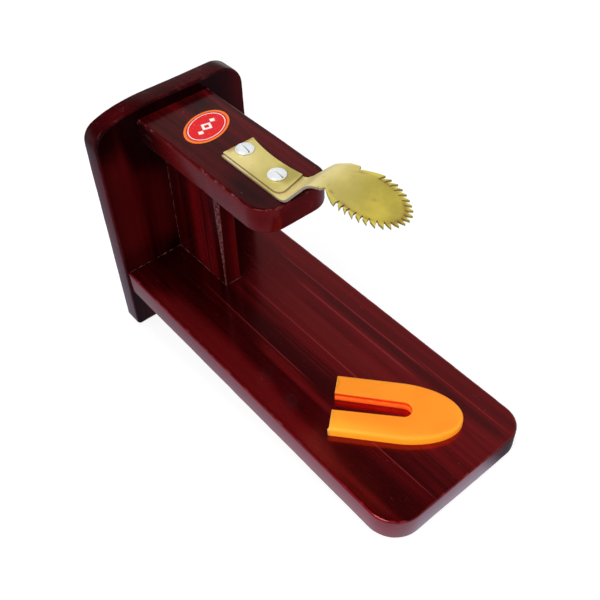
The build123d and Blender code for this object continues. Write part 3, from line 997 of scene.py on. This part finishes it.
# %% The glue tree
def glue_tree():
    tree = new_tree("glue_beads", Radius=0.0003, Step=0.0012)
    given = tree.nodes["Group Input"].outputs
    curve = join(tree, "GeometryNodeMeshToCurve", {"Mesh": given["Geometry"]})
    stretch = {"Curve": curve, "Length": given["Step"]}
    even = join(tree, "GeometryNodeResampleCurve", stretch, mode="LENGTH")
    place = join(tree, "GeometryNodeInputPosition")
    rough = join(tree, "ShaderNodeTexNoise", {"Vector": place, "Scale": 210.0, "Detail": 2.0})
    size = join(tree, "ShaderNodeMapRange", {0: rough, 1: 0.42, 2: 0.62, 3: 0.12, 4: 1.0})
    ring = {"Resolution": 6, "Radius": given["Radius"]}
    section = join(tree, "GeometryNodeCurvePrimitiveCircle", ring)
    swept = {"Curve": even, "Profile Curve": section, "Scale": size, "Fill Caps": True}
    bead = join(tree, "GeometryNodeCurveToMesh", swept)
    return end_tree(tree, bead, glue)


base_low, base_high = node_box("base_board")
arm_low, arm_high = node_box("arm_board")
post_low, post_high = node_box("support_post")
off, back_face = 0.05, 0.1
top, under = base_high.z + off, arm_low.z - off
near, far, front = post_low.y - off, post_high.y + off, post_high.x + off
rear_near, rear_far = (back_face, near), (back_face, far)
paths = [
    [(back_face, base_low.y + 1.5, top), (*rear_near, top), (front, near, top), (front, far, top)],
    [(front, far, top), (*rear_far, top), (back_face, base_high.y - 1.5, top)],
    [(*rear_near, top), (*rear_near, under)],
    [(*rear_far, top), (*rear_far, under)],
    [(back_face, arm_low.y + 1, arm_low.z + 2), (back_face, arm_low.y - off, arm_high.z - 2)],
]
points, edges = [], []
for path in paths:
    start = len(points)
    points += [tuple(0.001 * c for c in spot) for spot in path]
    edges += [(start + k, start + k + 1) for k in range(len(path) - 1)]
mesh = bpy.data.meshes.new("glue_paths")
mesh.from_pydata(points, edges, [])
beads = bake(show("glue_paths", mesh), glue_tree(), "glue_beads", Radius=0.00022)
print("glue beads:", len(beads.data.polygons), "faces")

# %% [markdown]
# ## The blade
#
# The blade is one sheet of brass: a flat tang, a ramp, and a head with saw teeth. Seen from
# above it is an outline, and seen from the side it is a bent line. So the outline is filled
# with triangles, every point is lifted onto the bent line, and a Solidify modifier gives it
# the thickness of the sheet, with its own darker material on the cut faces.

# %% The bent line
arm_top = arm_high.z
sheet, tang_back = 1.5, 69.5
ramp_foot, ramp_rise, ramp_angle = 126.0, 29.2, math.radians(48)
crest_run, head_tilt, head_droop = 31, math.radians(3), math.radians(7.5)
skew = math.tan(math.radians(14.5))
blade_line = 3.1
head_centre, head_line = 181.0, 4.5


def bent(points, radii, step=0.6):
    """A line through points with its corners rounded, as a list of (s, height)."""
    line = [Vector(points[0])]
    for before, here, after, radius in zip(points, points[1:], points[2:], radii):
        centre, start, bend = corner_arc(before, here, after, radius)
        steps = max(4, round(abs(bend) * radius / step))
        line += [centre + Matrix.Rotation(bend * k / steps, 2) @ start for k in range(steps + 1)]
    return line + [Vector(points[-1])]


ramp_end = ramp_foot + ramp_rise / math.tan(ramp_angle)
crest = (ramp_end + crest_run, arm_top + ramp_rise + crest_run * math.tan(head_tilt))
line_start, line_end = 60, 230
side_line = bent(
    [
        (line_start, arm_top),
        (ramp_foot, arm_top),
        (ramp_end, arm_top + ramp_rise),
        crest,
        (line_end, crest[1] - (line_end - crest[0]) * math.tan(head_droop)),
    ],
    [15, 28, 150],
)


def height_at(s):
    """The height of the bent line at a distance s along the blade."""
    for a, b in zip(side_line, side_line[1:]):
        if s <= b.x:
            return a.y + (b.y - a.y) * (s - a.x) / (b.x - a.x)
    return side_line[-1].y


def rising(x, start, run):
    """0 up to start and 1 from start + run, with a straight rise between them."""
    return min(1.0, max(0.0, (x - start) / run))


def lift(x, y):
    """The height of the sheet's underside over a place on the plan.

    The bends are skewed, less so towards the head. The head sags to +Y and its tip rises.
    """
    height = height_at(x + (y - blade_line) * skew * (1 - 0.55 * rising(x, ramp_foot, 26)))
    head, tip = rising(x, 150, 20), rising(x, 190, 19)
    across = (y - head_line) / 19
    return height - 0.05 - head * 0.9 * max(0.0, across + 0.2) + 0.9 * tip * tip


print("highest point of the bent line:", round(max(point.y for point in side_line), 2), "mm")

# %% The saw edge and the rest of the outline
random.seed(21)
teeth, saw_end = 21, 100  # degrees from the head's tip to its last tooth on each side
root_long, root_wide, tip_long, tip_wide = 23.4, 13.8, 28.4, 19.1
fine_steps = [math.radians(-saw_end + 0.1 * k) for k in range(20 * saw_end + 1)]
lengths = [0.0]
for a, b in zip(fine_steps, fine_steps[1:]):
    run = math.hypot(tip_long * (math.cos(b) - math.cos(a)), tip_wide * (math.sin(b) - math.sin(a)))
    lengths.append(lengths[-1] + run)


def edge_angle(share):
    """The angle at a share of the saw edge's length, mixed with an even turn."""
    goal = share * lengths[-1]
    place = min(len(lengths) - 1, sum(1 for length in lengths if length < goal))
    return 0.7 * fine_steps[place] + 0.3 * math.radians(saw_end * (2 * share - 1))


def on_head(angle, reach):
    """A point round the head: reach 0 is the root of the teeth and 1 their tips."""
    long = root_long + (tip_long - root_long) * reach
    wide = root_wide + (tip_wide - root_wide) * reach
    return (head_centre + long * math.cos(angle), head_line + wide * math.sin(angle))


gullet = ((-0.50, 0.42), (-0.20, 0.08), (0.0, 0.0), (0.20, 0.08), (0.50, 0.42))
saw = []
for index in range(teeth):
    share = index / (teeth - 1)
    tip = edge_angle(share) + math.radians(random.uniform(-0.5, 0.5))
    saw.append(on_head(tip, 1 - random.uniform(0, 0.1)))
    if index < teeth - 1:
        after = edge_angle((index + 1) / (teeth - 1))
        middle = (tip + after) / 2
        slip = 0.75 * (after - tip) * math.sin(middle) ** 2
        middle += math.copysign(slip, middle)
        half = (after - tip) / 2
        for part, reach in gullet:
            lean = 1 - 0.5 * abs(math.sin(middle)) * (part * middle > 0)
            saw.append(on_head(middle + part * half * lean, reach))


def along(start, end, bulge, count):
    """Points on a shallow arc from start to end, without its ends."""
    run = Vector(end) - Vector(start)
    side = Vector((-run.y, run.x)).normalized()
    spots = []
    for k in range(1, count):
        share = k / count
        spots.append(Vector(start) + run * share + side * bulge * 4 * share * (1 - share))
    return [(spot.x, spot.y) for spot in spots]


notch = head_centre - 19.7
near_edge, far_edge = blade_line - 12.6, blade_line + 12.9
tang_near, tang_far, tang_waist = blade_line - 12.4, blade_line + 11.9, 3.0
far_notch, near_notch = (notch + 1.4, far_edge + 0.6), (notch + 0.7, near_edge + 2.6)
tang_front, shoulder = ramp_foot - 3, -0.6

# The near edge, with a small nick before its notch.
nick = [(notch - 2.7, near_edge), (notch - 2.2, near_edge + 1.5), (notch - 1.7, near_edge)]
outline = [(tang_back, tang_near)]
outline += along((tang_back, tang_near), nick[0], 0, 40) + nick
outline += [(notch - 0.7, near_edge), near_notch]

# The head, from one notch round to the other.
outline += along(near_notch, saw[0], shoulder, 4) + saw + along(saw[-1], far_notch, shoulder, 4)

# The far edge swells up to its notch, and the tang's is hollow.
neck = (notch - 12, far_edge)
outline += [far_notch, (notch, far_edge + 3.2), (notch - 6, far_edge + 1.9), neck]
outline += along(neck, (ramp_foot, far_edge), 0, 10) + [(ramp_foot, far_edge), (tang_front, tang_far)]
outline += along((tang_front, tang_far), (tang_back, tang_far), tang_waist, 24) + [(tang_back, tang_far)]
print("blade outline:", len(outline), "points,", teeth, "teeth")


# %% Fill an outline with triangles and give it thickness
def inside(x, y, ring):
    """True inside a ring: a line from the point crosses it an odd number of times."""
    hit = False
    for (ax, ay), (bx, by) in zip(ring, ring[1:] + ring[:1]):
        if (ay > y) != (by > y) and x < (bx - ax) * (y - ay) / (by - ay) + ax:
            hit = not hit
    return hit


def gap_to(x, y, ring):
    """The distance from a point to the nearest side of a ring."""
    spot = Vector((x, y))
    least = 1e9
    for a, b in zip(ring, ring[1:] + ring[:1]):
        a, b = Vector(a), Vector(b)
        run = b - a
        share = max(0.0, min(1.0, (spot - a).dot(run) / run.length_squared))
        least = min(least, (spot - a - run * share).length)
    return least


def cut_sheet(name, ring, rise, materials, step=2.2, thick=sheet):
    """A sheet cut to a ring of plan points and lifted by rise(x, y)."""
    spots = [Vector(spot) for spot in ring]
    low_x, high_x = min(x for x, y in ring), max(x for x, y in ring)
    low_y, high_y = min(y for x, y in ring), max(y for x, y in ring)
    row = low_y + step / 2
    while row < high_y:
        s = low_x - 12
        while s < high_x + 12:
            x = s - (row - blade_line) * skew
            if inside(x, row, ring) and gap_to(x, row, ring) > 0.45 * step:
                spots.append(Vector((x, row)))
            s += step
        row += step
    flat, _, faces, _, _, _ = delaunay_2d_cdt(spots, [], [list(range(len(ring)))], 1, 1e-5)
    points = [(spot.x, spot.y, rise(spot.x, spot.y)) for spot in flat]
    made = into_object(name, points, [tuple(face) for face in faces], materials, sharp=60)
    solid = made.modifiers.new("thickness", "SOLIDIFY")
    solid.thickness = thick * 0.001
    solid.offset = 1
    solid.use_even_offset = True
    solid.material_offset_rim = 1
    bevel = made.modifiers.new("burr", "BEVEL")
    bevel.width = 0.00012
    bevel.segments = 2
    bevel.limit_method = "ANGLE"
    bevel.angle_limit = math.radians(50)
    settle(made)
    made.data.shade_smooth()
    made.data.set_sharp_from_angle(angle=math.radians(38))
    return made


blade = cut_sheet("blade", outline, lift, [brass, cut_brass])
print("blade:", len(blade.data.polygons), "faces")

# %% [markdown]
# ### The cover plate
#
# A second piece of the same sheet lies over the tang and spreads the pressure of the two
# bolts. Its +Y edge follows the tang, and its front edge follows the foot of the ramp.

# %% The cover plate
plate_front = ramp_foot - 6 * math.tan(ramp_angle / 2) - 0.6 - sheet
plate_near = tang_near + 1.2
front_near = (plate_front + (blade_line - plate_near) * skew, plate_near)
front_far = (plate_front - (tang_far - blade_line) * skew, tang_far)
plate_corners = [(tang_back, plate_near, 0.4), (*front_near, 5.0)]
plate_corners += [(*front_far, 0.3), (tang_back, tang_far, 0.5)]
plate_ring = []
for spot in rounded(plate_corners, 2.5):
    share = (spot.x - tang_back) / (tang_front - tang_back)
    waist = tang_waist * 4 * share * (1 - share) if spot.y > tang_far - 0.6 else 0.0
    plate_ring.append((spot.x, spot.y - waist))


def on_tang(x, y):
    """The height of the plate's underside, a hair above the tang."""
    return lift(x, y) + sheet + 0.09


plate = cut_sheet("cover_plate", plate_ring, on_tang, [brass, dark_cut])
print("cover plate:", len(plate.data.polygons), "faces")

# %% [markdown]
# ## The two bolts
#
# Each bolt has a low slotted head on the plate, and goes down through the arm to a washer
# and a nut. The picture shows only the heads, so the rest is a guess. A turned shape like
# this is a profile spun round its axis. The thread is a ridge that follows a helix, which
# the Curve Spiral node draws.


# %% Spin a profile
def spun(profile, steps=48):
    """Points and faces of a profile of (radius, height) turned round Z, closed at both ends."""
    points = [(0.0, 0.0, profile[0][1])]
    for radius, height in profile:
        for k in range(steps):
            angle = 2 * math.pi * k / steps
            points.append((radius * math.cos(angle), radius * math.sin(angle), height))
    points.append((0.0, 0.0, profile[-1][1]))
    last = len(points) - 1
    top = last - steps
    faces = []
    for k in range(steps):
        after = (k + 1) % steps
        faces.append((0, 1 + after, 1 + k))
        faces.append((last, top + k, top + after))
        for ring in range(len(profile) - 1):
            a = 1 + ring * steps
            faces.append((a + k, a + after, a + steps + after, a + steps + k))
    return points, faces


# %% The thread tree
def thread_tree():
    tree = new_tree("bolt_thread", Radius=0.0028, Pitch=0.001, Length=0.012, Ridge=0.0004)
    given = tree.nodes["Group Input"].outputs
    length, radius = given["Length"], given["Radius"]
    turns = join(tree, "ShaderNodeMath", {0: length, 1: given["Pitch"]}, operation="DIVIDE")
    coil = {"Resolution": 24, "Rotations": turns, "Height": length}
    coil |= {"Start Radius": radius, "End Radius": radius}
    helix = join(tree, "GeometryNodeCurveSpiral", coil)
    ring = {"Resolution": 4, "Radius": given["Ridge"]}
    ridge = join(tree, "GeometryNodeCurvePrimitiveCircle", ring)
    swept = {"Curve": helix, "Profile Curve": ridge, "Fill Caps": True}
    thread = join(tree, "GeometryNodeCurveToMesh", swept)
    both = join(tree, "GeometryNodeJoinGeometry", {"Geometry": [given["Geometry"], thread]})
    return end_tree(tree, both, zinc)


# %% Make both bolts
head_height, thread_start = 2.2, 0.6
head_profile = [(5.95, 0.0), (6.0, 0.15), (6.0, 0.75), (5.75, 1.2), (5.1, 1.62)]
head_profile += [(4.0, 1.93), (2.4, 2.1), (0.8, 2.16)]
slot_turns = {"rear": -0.12, "front": -0.02}
slot_floor, slot_size = 0.0014, (0.03, 0.0009, 0.0016)


def slot_tool(turn):
    """A thin bar across the head, in metres."""
    bar = bmesh.new()
    bmesh.ops.create_cube(bar, size=1)
    bmesh.ops.scale(bar, vec=slot_size, verts=bar.verts)
    bmesh.ops.rotate(bar, matrix=Matrix.Rotation(turn, 3, "Z"), verts=bar.verts)
    bmesh.ops.translate(bar, vec=(0, 0, slot_floor + slot_size[2] / 2), verts=bar.verts)
    return as_tool(bar)


def mark_painted_shade(bolt):
    """Painted shade lies in one half of the slot and under the rim of the head."""
    grime = bolt.data.attributes.new("grime", "FLOAT", "POINT")
    for point, spot in zip(grime.data, bolt.data.vertices):
        painted_slot_shade = abs(spot.co.z - slot_floor) < 1e-5 and 0.002 < spot.co.x
        under_rim = 0 < spot.co.z < 0.0004 and spot.co.xy.length > 0.0055
        point.value = float(painted_slot_shade or under_rim)


def move(made, x, y, z):
    """Moves a piece's mesh, in millimetres."""
    made.data.transform(Matrix.Translation((0.001 * x, 0.001 * y, 0.001 * z)))


thread = thread_tree()
bolts = []
for end, turn in slot_turns.items():
    low, high = node_box(f"{end}_blade_bolt")
    middle = (low + high) / 2
    foot = low.z - (high.z - head_height)
    shank = [(2.2, foot), (2.55, foot + 0.4), (2.6, 0.0)]
    points, faces = spun(shank + head_profile)
    bolt = into_object(f"{end}_bolt", points, faces, [zinc], sharp=45)
    subtract(bolt, slot_tool(turn))
    mark_painted_shade(bolt)
    move(bolt, 0, 0, -(foot + thread_start))
    bolt = bake(bolt, thread, f"{end}_bolt", Radius=0.00262, Length=0.011, Ridge=0.00036)
    move(bolt, middle.x, middle.y, low.z + thread_start)
    bolts.append((bolt, end))
    print(bolt.name, len(bolt.data.polygons), "faces")

# %% [markdown]
# ## The blade guard
#
# The guard is a U of orange plastic, taken to slide over the head of the blade, so it is
# hollow here: a thin pocket runs all the way round inside and opens into the slot and at the
# open end. The picture doesn't show the inside. The pocket is straight and the head is
# curved, and as modelled it is about 1 mm too low for the head to go in.
# The outside is one more board, with a wide radius on its outer edge and a small one in the
# slot, and a Boolean cuts the pocket.

# %% The guard's outlines
low, high = node_box("blade_guard")
guard_turn = Matrix.Rotation(guard_angle, 2)
guard_half, guard_straight, guard_nose, guard_wall = 21.1, 40.2, 39.6, 1.6
past_end = -8.0  # the outlines start before the open end, which is cut straight later


def guard_ring(half, nose, start):
    """The U-shaped outside, from its open end round the nose, as (u, v) points."""
    side = [start + (guard_straight - start) * k / 16 for k in range(17)]
    ring = [Vector((u, -half)) for u in side]
    for k in range(1, 48):
        angle = -math.pi / 2 + math.pi * k / 48
        ring.append(Vector((guard_straight + nose * math.cos(angle), half * math.sin(angle))))
    return ring + [Vector((u, half)) for u in reversed(side)]


def on_base(u, v, w):
    """The place of an outline that is drawn along and across the guard."""
    spot = guard_place + guard_turn @ Vector((u, v))
    return (spot.x, spot.y, w)


slot_end = 5.4
slot_ring = []
for k in range(19):
    u = past_end + (slot_length - past_end) * k / 18
    slot_ring.append(Vector((u, slot_mouth - slot_taper * u)))
other_side = [Vector((p.x, -p.y)) for p in reversed(slot_ring)]
for k in range(1, 16):
    angle = math.pi / 2 - math.pi * k / 16
    slot_ring.append(Vector((slot_length + slot_end * math.cos(angle), slot_end * math.sin(angle))))
slot_ring += other_side


# %% The guard, its cut end and its pocket
def guard_radius(point):
    """Sharp at the open end, small in the slot and wide round the outside."""
    if point.x < -4:
        return 0.35
    return 0.55 if abs(point.y) < 7 and point.x < 50 else 2.4


def cut_away(made, ring, low, high, index=0):
    """Cuts a flat-sided hole out of a piece. The hole takes the piece's material of that index."""
    count = len(ring)
    points = [on_base(u, v, low) for u, v in ring] + [on_base(u, v, high) for u, v in ring]
    faces = [tuple(reversed(range(count))), tuple(range(count, 2 * count))]
    faces += [(k, (k + 1) % count, count + (k + 1) % count, count + k) for k in range(count)]
    tool = into_object("tool", points, faces, list(made.data.materials))
    tool.data.polygons.foreach_set("material_index", [index] * len(faces))
    subtract(made, tool)


outline = guard_ring(guard_half, guard_nose, past_end) + slot_ring
guard = board("guard", outline, low.z, high.z, orange, guard_radius, on_base, below=0.12)
guard.data.materials.append(deep_orange)
open_end = [(-20, -30), (0, -30), (0, -21.2), (-0.8, -20.6), (0, -19.8), (0, 30), (-20, 30)]
cut_away(guard, open_end, low.z - 2, high.z + 2)
pocket = guard_ring(guard_half - guard_wall, guard_nose - guard_wall, -2.0)
cut_away(guard, pocket, low.z + 2.5, low.z + 4.6, 1)
print("guard:", len(guard.data.polygons), "faces")

# %% [markdown]
# ## The oval label
#
# A small oval of printed film is stuck to the arm. It carries a plain pattern here: a red
# field, an orange rim, a thin pale ring and three lozenges. The pattern is worked out in
# the label's own directions, so the place is moved and turned before anything is measured.


# %% The label's print
def label_print(name, centre, turned, half_long, half_wide):
    film = Finish(name, Roughness=0.4, Specular_IOR_Level=0.25, Coat_Weight=0.2, Coat_Roughness=0.1)
    here = film.place((1 / half_wide, 1 / half_long, 1), (0, 0, turned), (*centre, 0))
    u, v, _ = film.parts(here)
    out = (u * u + v * v) ** 0.5
    field, cream = (0.72, 0.012, 0.018), (0.90, 0.84, 0.78)
    colour = film.mix(out.ramp(0.885, 0.905), field, (0.88, 0.20, 0.02))
    marks = abs(out - 0.80).ramp(0.022, 0.012)
    for middle, size in ((0.0, 0.24), (-0.40, 0.12), (0.40, 0.12)):
        shape = abs(u) * 0.75 + abs(v - middle)
        marks = marks + shape.ramp(size + 0.02, size - 0.02)
    heart = (abs(u) * 0.75 + abs(v)).ramp(0.13, 0.10)
    colour = film.mix(marks, colour, cream)
    colour = film.mix(heart, colour, field)
    dust = film.noise(film.place(), 700.0, 2.0).ramp(0.62, 0.75)
    colour = film.mix(dust * 0.25, colour, (0.85, 0.6, 0.5))
    ripple = film.noise(film.place(), 120.0, 1.0)
    return film.wear(Base_Color=colour, Normal=film.bump(ripple, 0.1, 0.0004))


low, high = node_box("oval_label")
label_turn, label_centre = math.radians(27), Vector((37.1, 2.6))
half_long, half_wide, bleed = 19.0, 13.2, 0.1
print_size = (0.001 * (half_long + bleed), 0.001 * (half_wide + bleed))
label_film = label_print("label_film", label_centre * 0.001, label_turn, *print_size)
label_ring = []
for k in range(72):
    angle = 2 * math.pi * k / 72
    spot = Vector((half_wide * math.cos(angle), half_long * math.sin(angle)))
    label_ring.append(label_centre + Matrix.Rotation(label_turn, 2) @ spot)


def cut_edge(point):
    return 0.1


label = board("label", label_ring, low.z + 0.01, high.z, label_film, cut_edge, steps=2)
print("label:", len(label.data.polygons), "faces")

# %% [markdown]
# ## Every piece rides on a body
#
# The stand is one rigid body and the guard is the other. Each new piece says which body it
# moves with, which measured solids it stands for, and which finish of the part's record it
# belongs to.

# %% Attach the pieces
table = [
    (base, "stand", "stained_wood", ["base_board"]),
    (arm, "stand", "stained_wood", ["arm_board"]),
    (back, "stand", "stained_wood", ["back_board"]),
    (post, "stand", "stained_wood", ["support_post"]),
    (beads, "stand", "stained_wood", []),
    (screws, "stand", "zinc_steel", screw_nodes),
    (blade, "stand", "brass", ["scraper_blade"]),
    (plate, "stand", "brass", ["blade_cover_plate"]),
    (label, "stand", "label_film", ["oval_label"]),
    (guard, "guard", "guard_plastic", ["blade_guard"]),
]
table += [(bolt, "stand", "zinc_steel", [f"{end}_blade_bolt"]) for bolt, end in bolts]
for piece, body, finish, stands_for in table:
    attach(piece, body)
    if stands_for:
        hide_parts(*stands_for)
print("pieces:", len(table))

# %% [markdown]
# ## Floor and light
#
# The lip hangs below the base, so on a flat floor the stand tips forward and rests on the
# lip's lower front edge and the front end of the base. The frame keeps the base level, so
# the floor slopes instead. The picture has a plain white ground, which the floor gives to the camera, with a
# soft shadow from the lamps. A lacquered board also mirrors whatever stood round it, which
# the picture doesn't show. Here reflections see a floor that is brightest in front of the
# base, dimmer behind it, dark along its +Y side and grey further out, and a sky that is pale
# low down and dark overhead. No real room is meant: these were set until the shine
# matched the picture.

# %% The floor
lip, front_end = -0.0372, 0.276
slope = math.atan2(-lip, front_end)
floor_mesh = bpy.data.meshes.new("floor")
reach = 4.0
corners = [(reach * x, reach * y, 0) for x, y in ((-1, -1), (1, -1), (1, 1), (-1, 1))]
floor_mesh.from_pydata(corners, [], [(0, 1, 2, 3)])
floor_mesh.transform(Matrix.Translation((0, 0, lip - 0.0003)) @ Matrix.Rotation(-slope, 4, "Y"))
floor = show("floor", floor_mesh)

ground = Finish("ground", Roughness=0.9, Specular_IOR_Level=0.0)
rays = ground.add("ShaderNodeLightPath").socket.node.outputs
camera_sees = Wire(ground, rays["Is Camera Ray"])
gloss_sees = Wire(ground, rays["Is Glossy Ray"]) + Wire(ground, rays["Is Transmission Ray"])
ahead, side, _ = ground.parts(ground.add("ShaderNodeTexCoord", output="Object"))
beside = abs(side).ramp(0.20, 0.09)
shown_floor = ahead.ramp(0.0, 0.26) * 0.33 + ahead.ramp(0.275, 0.300) * 0.12 + 0.46
pool = shown_floor * (side.ramp(0.040, 0.018) * 0.82 + 0.18)
pool = beside * pool + (1 - beside) * 0.42
far_off = (side * side + ahead * ahead).ramp(0.4, 6.0)
cool = ground.mix(ahead.ramp(0.268, 0.282), (0.83, 0.84, 1.02), (0.78, 0.98, 1.20))
tint = ground.mix(camera_sees, cool, (1, 1, 1))
white = camera_sees * (far_off * 0.1 + 0.8)
glow = ground.add("ShaderNodeEmission", {"Color": tint, "Strength": white + gloss_sees * pool})
plain = ground.mix(gloss_sees, (0.30, 0.30, 0.30), (0, 0, 0))
ground.set(ground.shader, "Base Color", plain)
both = ground.tree.nodes.new("ShaderNodeAddShader")
ground.tree.links.new(ground.shader.outputs[0], both.inputs[0])
ground.tree.links.new(glow.socket, both.inputs[1])
ground.tree.links.new(both.outputs[0], ground.tree.nodes["Material Output"].inputs[0])
floor_mesh.materials.append(ground.material)
floor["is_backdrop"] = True
print("floor slopes by", round(math.degrees(slope), 1), "degrees")

# %% The sky of the studio
def studio_sky(light=0.45):
    """White to the camera. Reflections see it pale low down and dark overhead."""
    world = bpy.data.worlds.new("studio")
    bpy.context.scene.world = world
    world.use_nodes = True
    tree = world.node_tree

    def node(kind, links=None, **settings):
        made = tree.nodes.new(kind)
        for setting, value in settings.items():
            setattr(made, setting, value)
        for socket, value in (links or {}).items():
            if isinstance(value, bpy.types.NodeSocket):
                tree.links.new(value, made.inputs[socket])
            else:
                made.inputs[socket].default_value = value
        return made.outputs

    def fade(value, start, end, low, high):
        sockets = {0: value, 1: start, 2: end, 3: low, 4: high}
        return node("ShaderNodeMapRange", sockets, interpolation_type="SMOOTHSTEP")[0]

    rays = node("ShaderNodeLightPath")
    way = node("ShaderNodeSeparateXYZ", {0: node("ShaderNodeTexCoord")["Generated"]})
    height = node("ShaderNodeMath", {0: way["Z"], 1: -0.5}, operation="MULTIPLY")[0]
    side = node("ShaderNodeMath", {0: way["Y"], 1: height}, operation="ADD")[0]
    soft_box = fade(side, -0.04, 0.16, 0.02, 0.34)
    low_down = fade(way["Z"], 0.05, 0.40, 0.6, 0.0)
    gloss = node("ShaderNodeMath", {0: soft_box, 1: low_down}, operation="ADD")[0]
    bounced = {0: rays["Is Glossy Ray"], 1: rays["Is Transmission Ray"]}
    mirrored = node("ShaderNodeMath", bounced, operation="ADD")[0]
    plain = node("ShaderNodeMix", {0: mirrored, 2: light, 3: gloss})[0]
    strength = node("ShaderNodeMix", {0: rays["Is Camera Ray"], 2: plain, 3: 1.0})[0]
    tree.links.new(strength, tree.nodes["Background"].inputs["Strength"])
    tree.nodes["Background"].inputs["Color"].default_value = (1, 1, 1, 1)


studio_sky()


# %% Lamps
def lamp(name, place, size, power, aim=(0.12, 0.0, 0.06)):
    light = bpy.data.lights.new(name, "AREA")
    light.shape = "DISK"
    light.size = size
    light.energy = power
    made = show(name, light)
    made.location = place
    way = Vector(aim) - Vector(place)
    made.rotation_euler = way.to_track_quat("-Z", "Y").to_euler()
    return made


lamp("key", (0.35, -1.05, 1.15), 0.9, 13)
for soft in (lamp("fill", (1.3, 0.35, 0.75), 0.8, 4), lamp("top", (0.05, 0.05, 1.6), 0.7, 5.5)):
    soft.visible_glossy = False
bpy.context.scene.view_settings.view_transform = "Standard"

# %% [markdown]
# ## Sizes, and the end
#
# Both boxes, of the measured model and of the finished pieces, are kept and printed, so
# they can be compared. The finished pieces must stay inside the measured model.

# %% Print the sizes
low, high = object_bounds()
sizes = {"cad": [list(cad_low), list(cad_high)], "visual": [list(low), list(high)]}
print("visual box:", in_mm(low, high))
